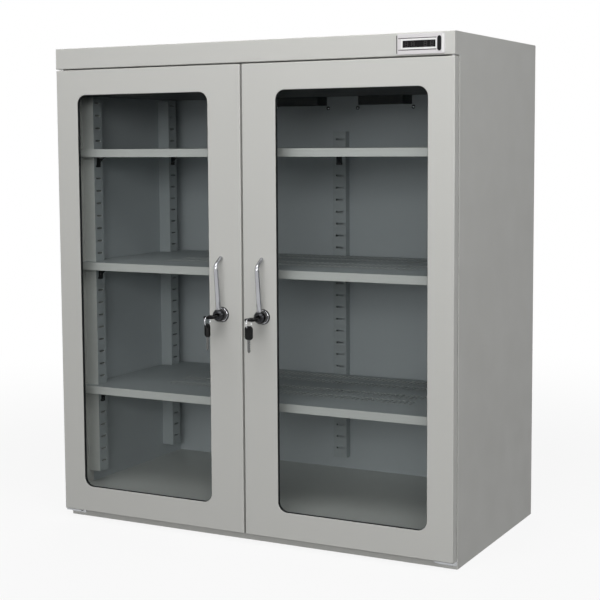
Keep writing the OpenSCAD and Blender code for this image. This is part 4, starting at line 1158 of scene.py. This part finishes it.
@dataclass
class Display:
    """The humidity display: its bezel, window and set key."""

    corner_r: float = 2 * MM
    edge_r: float = 0.5 * MM
    fine_r: float = 0.3 * MM
    pill_round: float = 0.499
    chin: float = 1.4 * MM
    frame_w: float = 3.2 * MM
    frame_rise: float = 0.55 * MM
    groove_w: float = 1.7 * MM
    groove_d: float = 1.3 * MM
    groove_gap: float = 1.0 * MM
    gap: float = 0.3 * MM
    trim_gap: float = 0.9 * MM
    shadow_w: float = 2.6 * MM
    shadow_t: float = 0.5 * MM
    window_flange: float = 2 * MM
    key_edge: float = 0.9 * MM
    key_flange_t: float = 1 * MM
    key_flange: tuple[float, float] = (1 * MM, 0.5 * MM)
    digit_w: float = 5.6 * MM
    digit_h: float = 8.6 * MM
    digit_t: float = 0.02 * MM
    digit_spots: tuple[float, ...] = (0.6, 1.6, 3.6, 4.6)
    digit_pitches: float = 5.2
    stroke: float = 0.9 * MM

    def build(self) -> None:
        """Models and seats the display."""
        # The bezel's grooves take a dark coat: painted shade.
        coat_faces(seat(self.bezel(), SILVER, "cabinet", "display_bezel"), PAINTED_SHADE_GROOVES, self.in_groove)
        seat(self.trim(), WHITE_TRIM, "cabinet")
        # A dark strip beside the bezel stands for its shadow: painted shadow.
        seat(self.painted_shadow_strip(), PAINTED_SHADOW_GREY, "cabinet")
        seat(self.set_key(), BLACK_PLASTIC, "set_key", "set_key")
        seat(self.window(), GLOSS_BLACK, "cabinet", "display_window")
        seat(self.digits(), SEGMENTS, "cabinet")

    def window_face(self) -> tuple[Vector, Vector]:
        """The corners of the display window where it fills the bezel."""
        return within("display_window", self.window_flange, self.window_flange)

    def key_face(self) -> tuple[Vector, Vector]:
        """The corners of the set key's visible part."""
        return within("set_key", *self.key_flange)

    def frame_box(self) -> tuple[Vector, Vector]:
        """The box of the white frame round the window.

        Returns:
            Its lowest and its highest corner.
        """
        lo, hi = self.window_face()
        rim = Vector((self.frame_w, 0, self.frame_w))
        return lo - rim, Vector((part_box("set_key")[0].x - self.trim_gap, 0, hi.z + self.frame_w))

    def pill(self, name: str, lo: Vector, hi: Vector) -> Piece:
        """Models an upright plate with round ends.

        Args:
            name: The piece's name.
            lo: Its lowest corner.
            hi: Its highest corner.

        Returns:
            The plate.
        """
        plate = block(name, lo, hi)
        round_edges(plate, along(Axis.DEPTH), (hi.x - lo.x) * self.pill_round, segments=12)
        return plate

    def window_cut(self, front: float) -> Piece:
        """The solid of the window's opening in the bezel and its frame, from a front plane."""
        lo, hi = self.window_face()
        return block("window_cut", Vector((lo.x, front, lo.z)), Vector((hi.x, hi.y + OVERRUN, hi.z)))

    def bezel(self) -> Piece:
        """Models the bezel with a groove above and below the window's frame.

        Returns:
            The bezel.
        """
        lo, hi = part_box("display_bezel")
        plate = block("bezel_plate", lo, hi)
        round_edges(plate, along(Axis.DEPTH), self.corner_r, segments=5)
        round_edges(plate, both(lying(Axis.DEPTH, lo.y), lying(Axis.UPRIGHT, lo.z)), self.chin, segments=1)
        round_edges(plate, both(lying(Axis.DEPTH, lo.y), folded), self.edge_r, segments=2)
        frame_lo, frame_hi = self.frame_box()
        face_lo, face_hi = self.key_face()
        grow = Vector((self.gap, OVERRUN, self.gap))
        half = Vector((0, 0, self.groove_w / 2))
        grooves = [block("groove", Vector((lo.x + self.corner_r, lo.y - OVERRUN, z)) - half,
                         Vector((frame_hi.x, lo.y + self.groove_d, z)) + half)
                   for z in (frame_lo.z - self.groove_gap, frame_hi.z + self.groove_gap)]
        cut(plate, *grooves, self.window_cut(lo.y - 2 * OVERRUN),
            self.pill("key_cut", face_lo - grow, Vector((face_hi.x, hi.y, face_hi.z)) + grow))
        return plate

    def in_groove(self, face: bmesh.types.BMFace) -> bool:
        """Whether a face of the bezel lies in one of its grooves, which take the painted shade.

        Args:
            face: The face.

        Returns:
            Whether it does.
        """
        lo, hi = self.frame_box()
        centre = face.calc_center_median()
        level = min(abs(centre.z - lo.z + self.groove_gap), abs(centre.z - hi.z - self.groove_gap))
        return (level < self.groove_w / 2 + TOUCH and centre.x < hi.x
                and centre.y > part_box("display_bezel")[0].y + self.groove_d / 4)

    def trim(self) -> Piece:
        """Models the white frame round the window and the white strip beside the set key.

        Returns:
            The two strips.
        """
        lo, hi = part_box("display_bezel")
        frame_lo, frame_hi = self.frame_box()
        front = lo.y - self.frame_rise
        rim = block("display_frame", Vector((frame_lo.x, front, frame_lo.z)),
                    Vector((frame_hi.x, lo.y, frame_hi.z)))
        cut(rim, self.window_cut(front - OVERRUN))
        strip = block("strip", Vector((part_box("set_key")[1].x + self.trim_gap, front, lo.z + self.corner_r)),
                      Vector((hi.x - self.corner_r / 2, lo.y, hi.z - self.corner_r)))
        for piece in (rim, strip):
            round_edges(piece, lying(Axis.DEPTH, front), self.fine_r, segments=2)
        return join("display_frame", [rim, strip])

    def painted_shadow_strip(self) -> Piece:
        """Models a dark strip beside the bezel's left edge: painted shadow.

        Returns:
            The strip.
        """
        lo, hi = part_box("display_bezel")
        strip = block("display_side_gasket",
                      Vector((lo.x - self.shadow_w, hi.y - self.shadow_t, lo.z + self.corner_r)),
                      Vector((lo.x, hi.y, hi.z - self.corner_r)))
        round_edges(strip, along(Axis.DEPTH), self.shadow_t, segments=2)
        return strip

    def window(self) -> Piece:
        """Models the window with its flange behind the header.

        Returns:
            The window.
        """
        lo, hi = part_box("display_window")
        face_lo, face_hi = self.window_face()
        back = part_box("top_cover")[0].y
        face = block("display_pane", Vector((face_lo.x, lo.y, face_lo.z)),
                     Vector((face_hi.x, back + TOUCH, face_hi.z)))
        round_edges(face, lying(Axis.DEPTH, lo.y), self.fine_r, segments=2)
        flange = block("flange", Vector((lo.x, back, lo.z)), hi)
        round_edges(flange, along(Axis.DEPTH), self.edge_r, segments=2)
        return join("display_pane", [face, flange])

    def set_key(self) -> Piece:
        """Models the set key with its crowned face and its flange.

        Returns:
            The key.
        """
        lo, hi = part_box("set_key")
        face_lo, face_hi = self.key_face()
        back = hi.y - self.key_flange_t
        face = self.pill("set_key_cap", face_lo, Vector((face_hi.x, back + TOUCH, face_hi.z)))
        round_edges(face, lying(Axis.DEPTH, lo.y), self.key_edge, segments=4)
        return join("set_key_cap", [face, self.pill("flange", Vector((lo.x, back, lo.z)), hi)])

    def digits(self) -> Piece:
        """Models the unlit segments of four digits behind the window.

        Returns:
            The segments.
        """
        lo, hi = self.window_face()
        mid = (lo + hi) / 2
        w, h, s = self.digit_w / 2, self.digit_h / 2, self.stroke / 2
        spots = [(0, level * h, w - s, s) for level in (-1, 0, 1)]
        spots += [(side * w, level * h / 2, s, h / 2 - s) for side in (-1, 1) for level in (-1, 1)]
        bars = []
        for place in self.digit_spots:
            x = lo.x + (hi.x - lo.x) / self.digit_pitches * place
            for dx, dz, half_w, half_h in spots:
                half = Vector((half_w, self.digit_t, half_h))
                centre = Vector((x + dx, lo.y, mid.z + dz))
                bars.append(block("segment", centre - half, centre + half))
        return join("digit_segments", bars)


@dataclass
class Fittings:
    """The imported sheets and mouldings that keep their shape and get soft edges."""

    sheet_edge: float = 0.45 * MM
    moulding_edge: float = 0.5 * MM
    flat_angle: float = math.radians(1)
    corner_angle: float = math.radians(50)

    def build(self) -> None:
        """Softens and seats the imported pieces."""
        # The back panel's inner faces take the darker wall copy of the coat, painted shade; its outer face
        # keeps the powder coat.
        back = seat(self.softened("back_panel", "back_sheet", self.sheet_edge), PAINTED_SHADE_WALLS, "cabinet",
                    "back_panel")
        coat_faces(back, PAINT, lambda face: looks(face, BACK))
        for node in ("front_sill", "front_lintel", "centre_post", "bottom_pan", "rear_vent_plates"):
            self.sheet(node, PAINT)
        # The shelves' tops take the darker copy of the inner coat: painted shade.
        for node in ("top_shelf", "middle_shelf", "lower_shelf"):
            coat_faces(self.sheet(node, INNER_PAINT), PAINTED_SHADE_INNER, lambda face: looks(face, UP))
        # The uprights take the darker copy of the inner coat, and the front uprights' front faces the lighter
        # one: painted shade.
        self.sheet("rear_centre_upright", PAINTED_SHADE_INNER)
        for node in ("front_left_upright", "front_right_upright"):
            coat_faces(self.sheet(node, PAINTED_SHADE_INNER), INNER_PAINT, lambda face: looks(face, FRONT))
        for node in ("rear_left_upright", "rear_right_upright"):
            self.sheet(node, PAINTED_SHADE_INNER)
        for node in ("dryer_covers", "top_shelf_clips", "middle_shelf_clips", "lower_shelf_clips"):
            seat(self.softened(node, node + "_moulding", self.moulding_edge), BLACK_PLASTIC, "cabinet", node)

    def sheet(self, node: str, finish: Finish) -> Piece:
        """Softens and seats a packed sheet."""
        return seat(self.softened(node, node + "_sheet", self.sheet_edge), finish, "cabinet", node)

    def softened(self, node: str, name: str, radius: float) -> Piece:
        """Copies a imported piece, merges its facets and rounds its edges.

        Args:
            node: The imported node.
            name: The new piece's name.
            radius: The radius that its edges take.

        Returns:
            The new piece.
        """
        piece = bpy.data.objects.new(name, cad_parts[node].data.copy())
        bpy.context.scene.collection.objects.link(piece)
        pick(rename(piece, name), "VERT")
        bpy.ops.mesh.remove_doubles(threshold=TOUCH / 2)
        bpy.ops.mesh.dissolve_limited(angle_limit=self.flat_angle)
        apply_modifier(piece, "BEVEL", width=radius, segments=2, limit_method="ANGLE",
                       angle_limit=self.corner_angle, use_clamp_overlap=True)
        return piece


@dataclass(frozen=True)
class CrossHead:
    """A screw head with a cross recess."""

    profile: tuple[Point, ...]
    recess_l: float
    recess_w: float
    recess_d: float
    facets: int

    def model(self, base: Vector, way: Vector) -> Piece:
        """Models the head.

        Args:
            base: The centre of its seat.
            way: The way that it looks.

        Returns:
            The head.
        """
        head = turned("screw_head", self.profile, base, way, self.facets)
        height = self.profile[-1][1]
        front, back = sorted(base.y + way.y * reach for reach in (height - self.recess_d, height + OVERRUN))
        for a, b in ((self.recess_l, self.recess_w / 2), (self.recess_w / 2, self.recess_l)):
            cut(head, block("slot", Vector((base.x - a, front, base.z - b)),
                            Vector((base.x + a, back, base.z + b))))
        return head


@dataclass
class Screws:
    """The screws beside the dryer covers, on the back's flanges and vent plates, and beside the inlet."""

    cover_rim: float = 0.3
    cover_angles: tuple[int, ...] = (15, 30, 45, 60, 75)
    cover_recess_share: float = 0.62
    cover_recess: float = 0.7 * MM
    washer_r: float = 4.3 * MM
    washer_bore_r: float = 2.4 * MM
    washer_t: float = 0.45 * MM
    head_r: float = 3.2 * MM
    head_h: float = 1.5 * MM
    small_r: float = 1.5 * MM
    small_h: float = 0.9 * MM
    flange_x: float = 441.5 * MM
    rows: tuple[float, ...] = (0.06, 0.28, 0.5, 0.72, 0.94)
    plate_inset: float = 5 * MM
    inlet_inset: float = 3 * MM
    sunk: float = 0.05 * MM
    rear_shape: tuple[Point, ...] = ((0, 0), (1, 0), (1, 0.35), (0.9, 0.72), (0.6, 0.94), (0, 1))
    rear_recess_share: float = 0.6
    rear_recess: float = 0.8 * MM

    def build(self) -> None:
        """Models one screw of each kind, copies it to every place and seats them."""
        self.seat_cover_screws()
        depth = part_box("right_side_panel")[1].y - self.sunk
        lo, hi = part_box("rear_vent_plates")
        inner = min(abs(vert.co.x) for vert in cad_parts["rear_vent_plates"].data.vertices)
        places = [Vector((way * self.flange_x, depth, z)) for way in (-1, 1) for z in self.rows]
        places += [Vector((way * x, depth, z)) for way in (-1, 1)
                   for x in (inner + self.plate_inset, hi.x - self.plate_inset)
                   for z in (lo.z + self.plate_inset, hi.z - self.plate_inset)]
        self.seat_rear_screws("rear_screw_heads", places, self.head_r, self.head_h)
        lo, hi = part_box("power_inlet")
        places = [Vector((x, depth, (lo.z + hi.z) / 2))
                  for x in (lo.x + self.inlet_inset, hi.x - self.inlet_inset)]
        self.seat_rear_screws("inlet_screw_heads", places, self.small_r, self.small_h)

    def seat_cover_screws(self) -> None:
        """Models and seats the screws beside the dryer covers, with their dark washers."""
        lo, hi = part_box("cover_screws")
        radius = (hi.z - lo.z) / 2
        height = hi.y - lo.y
        tops = [vert.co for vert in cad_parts["cover_screws"].data.vertices if near(vert.co.z, hi.z)]
        places = [Vector((x, hi.y, (lo.z + hi.z) / 2)) for x in sorted({round(top.x, 5) for top in tops})]
        dome = rim_points(radius, height, radius, height * (1 - self.cover_rim), self.cover_angles)
        profile = ((0, 0), (radius, 0), (radius, height * self.cover_rim), *dome, (0, height))
        head = CrossHead(profile, radius * self.cover_recess_share, self.cover_recess, self.cover_recess,
                         facets=24)
        heads = repeated("cover_screw_heads", head.model(places[0], FRONT), places)
        edge = self.washer_t / 2
        profile = ((self.washer_bore_r, 0), (self.washer_r, 0), (self.washer_r, edge),
                   (self.washer_r - edge, self.washer_t), (self.washer_bore_r, self.washer_t),
                   (self.washer_bore_r, 0))
        washer = turned("washer", profile, places[0], FRONT, steps=32)
        washers = repeated("cover_screw_washers", washer, places)
        seat(heads, PLUG_CHROME, "cabinet", "cover_screws")
        seat(washers, BLACK_PLASTIC, "cabinet")

    def seat_rear_screws(self, name: str, places: Sequence[Vector], radius: float, height: float) -> None:
        """Models and seats screw heads that look to the back.

        Args:
            name: The name of the joined heads.
            places: The centre of each head's seat.
            radius: The heads' radius.
            height: The heads' height.
        """
        profile = tuple((radius * r, height * h) for r, h in self.rear_shape)
        head = CrossHead(profile, radius * self.rear_recess_share, self.rear_recess, height / 2, facets=20)
        seat(repeated(name, head.model(places[0], BACK), places), STEEL, "cabinet")


class PackedFinishes:
    """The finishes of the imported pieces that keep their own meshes."""

    finishes: dict[Finish, tuple[str, ...]] = {
        INNER_PAINT: ("inner_floor", "left_door_liner", "right_door_liner"),
        # The inner ceiling is painted near-black: painted shade.
        PAINTED_SHADE_CEILING: ("inner_ceiling",),
        STEEL: ("drying_units", "upper_hinges", "lower_hinges", "left_latch_tongue", "right_latch_tongue"),
        BLACK_PLASTIC: ("power_inlet",),
        NYLON: ("humidity_sensor", "left_hinge_bushes", "right_hinge_bushes"),
        BOARD: ("control_board", "display_board"),
        GLASS: ("left_door_glass", "right_door_glass"),
        RUBBER: ("left_door_gasket", "right_door_gasket"),
        # The key plugs take the darker chrome: painted dark reflection.
        DARK_REFLECTION_CHROME: ("left_lock_plug", "right_lock_plug"),
    }

    def build(self) -> None:
        """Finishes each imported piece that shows, and the hidden ones under their modelled pieces."""
        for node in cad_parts.values():
            dress(node, STEEL)
        for finish, nodes in self.finishes.items():
            for name in nodes:
                dress(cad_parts[name], finish)
                LOG.info("%s keeps its mesh, in %s", name, finish.name)


@dataclass(frozen=True)
class Lamp:
    """A soft lamp with a rectangular face."""

    name: str
    place: Place
    aim: Place
    width: float
    height: float
    power: float

    def hang(self) -> None:
        """Adds the lamp to the scene."""
        turn = (Vector(self.aim) - Vector(self.place)).to_track_quat("-Z", "Y").to_euler()
        clear_selection()
        bpy.ops.object.light_add(type="AREA", location=self.place, rotation=turn)
        lamp = rename(bpy.context.active_object, self.name).data
        lamp.shape = "RECTANGLE"
        lamp.size, lamp.size_y = self.width, self.height
        lamp.energy = self.power


@dataclass
class Studio:
    """The floor, the lamps, the white surroundings and the camera."""

    floor_reach: float = 14
    floor_colour: Colour = (0.8, 0.8, 0.8)
    floor_roughness: float = 0.9
    floor_bounce: Colour = (0.04, 0.04, 0.04)
    shade_share: float = 0.12
    shade_reach: tuple[float, float] = (0.8, 2.6)
    ambient: float = 0.19
    sky_rise: float = 0.3
    place: Place = (1.3648, -2.6173, 0.8067)
    yaw: float = -0.490
    pitch: float = -0.093
    roll: float = -0.007
    lens: float = 82.8
    shift: tuple[float, float] = (0.027, -0.0455)
    lamps: tuple[Lamp, ...] = (
        Lamp("overhead_softbox", (0.5, -1.35, 2.35), (0.05, -0.1, 0.6), 2.2, 1.2, 29.5),
        Lamp("front_fill", (-0.3, -6.0, 1.75), (0, 0, 0.6), 3.0, 1.1, 22),
        Lamp("right_fill", (2.6, -5.4, 1.8), (0, 0, 0.6), 3.0, 1.1, 76),
        Lamp("side_fill", (4.6, -1.6, 1.9), (0.3, 0, 0.5), 2.4, 1.4, 24),
        Lamp("low_fill", (1.0, -5.5, 0.9), (0, 0, 0.5), 2.6, 1.0, 28),
        Lamp("rear_fill", (-2.4, 4.8, 2.0), (0, 0, 0.5), 3.2, 1.4, 110),
    )

    def build(self) -> None:
        """Sets up the whole studio."""
        self.set_camera()
        self.lay_floor()
        self.set_world()
        for lamp in self.lamps:
            lamp.hang()
        bpy.context.scene.view_settings.view_transform = "Standard"

    def set_camera(self) -> None:
        """Places the camera at the photograph's angle."""
        level = math.cos(self.pitch)
        forward = Vector((math.sin(self.yaw) * level, math.cos(self.yaw) * level, math.sin(self.pitch)))
        right = forward.cross(UP).normalized()
        up = right.cross(forward)
        cosine, sine = math.cos(self.roll), math.sin(self.roll)
        turn = Matrix((right * cosine + up * sine, up * cosine - right * sine, -forward)).transposed()
        clear_selection()
        bpy.ops.object.camera_add(location=self.place, rotation=turn.to_euler())
        camera = rename(bpy.context.active_object, "camera")
        camera.data.lens = self.lens
        camera.data.shift_x, camera.data.shift_y = self.shift
        bpy.context.scene.camera = camera

    def white_for_sight(self, board: NodeBoard) -> Socket:
        """Adds the test for rays that see the background directly, in metal or through glass.

        Args:
            board: The node tree to add it to.

        Returns:
            1 for such a ray, and 0 for light that falls on the object.
        """
        path = board.add("ShaderNodeLightPath").outputs
        total = path["Is Camera Ray"]
        for kind in ("Is Glossy Ray", "Is Transmission Ray"):
            either = board.add("ShaderNodeMath", {0: total, 1: path[kind]}, operation="MAXIMUM")
            total = either.outputs["Value"]
        return total

    def lay_floor(self) -> None:
        """Lays the pale floor, white to the camera but for the object's shadow."""
        clear_selection()
        bpy.ops.mesh.primitive_plane_add(size=self.floor_reach, location=(0, 0, -TOUCH))
        floor = settle("floor")
        board = NodeBoard(bpy.data.materials.new("pale_floor"))
        board.feed(board.shader, {"Base Color": (*self.floor_colour, 1), "Roughness": self.floor_roughness,
                                  "Specular IOR Level": 0})
        seen = board.blend(self.fading_shade(board), board.add("ShaderNodeEmission"), board.shader)
        dark = board.add("ShaderNodeBsdfDiffuse", {"Color": (*self.floor_bounce, 1)})
        board.end(board.blend(self.white_for_sight(board), dark, seen))
        floor.data.materials.append(board.owner)

    def fading_shade(self, board: NodeBoard) -> Socket:
        """Adds the share of real shade in the floor's colour, which fades out away from the object.

        Args:
            board: The floor's node tree.

        Returns:
            The share.
        """
        near_end, far_end = self.shade_reach
        length = board.add("ShaderNodeVectorMath", {0: board.place["Object"]}, operation="LENGTH")
        feed = {"Value": length.outputs["Value"], "From Min": near_end, "From Max": far_end,
                "To Min": self.shade_share, "To Max": 0}
        return board.add("ShaderNodeMapRange", feed, interpolation_type="SMOOTHSTEP").outputs["Result"]

    def set_world(self) -> None:
        """Makes the surroundings white to sight, and as light dim and from above the horizon alone."""
        world = bpy.data.worlds.new("surroundings")
        bpy.context.scene.world = world
        board = NodeBoard(world)
        height = board.add("ShaderNodeSeparateXYZ", {"Vector": board.place["Generated"]}).outputs["Z"]
        sky = board.add("ShaderNodeMapRange", {"Value": height, "From Max": self.sky_rise,
                                               "To Max": self.ambient})
        strength = board.add("ShaderNodeMapRange", {"Value": self.white_for_sight(board),
                                                    "To Min": sky.outputs["Result"], "To Max": 1})
        board.feed(board.nodes["Background"], {"Color": (1, 1, 1, 1), "Strength": strength.outputs["Result"]})


def main() -> None:
    """Builds the studio and dresses the cabinet, sub-assembly by sub-assembly."""
    logging.basicConfig(level=logging.INFO, format="%(message)s")
    for part in (Studio(), PackedFinishes(), Casing(), Door(), Lock(), Keys(), Display(), Fittings(),
                 Screws()):
        part.build()


if __name__ == "__main__":
    main()
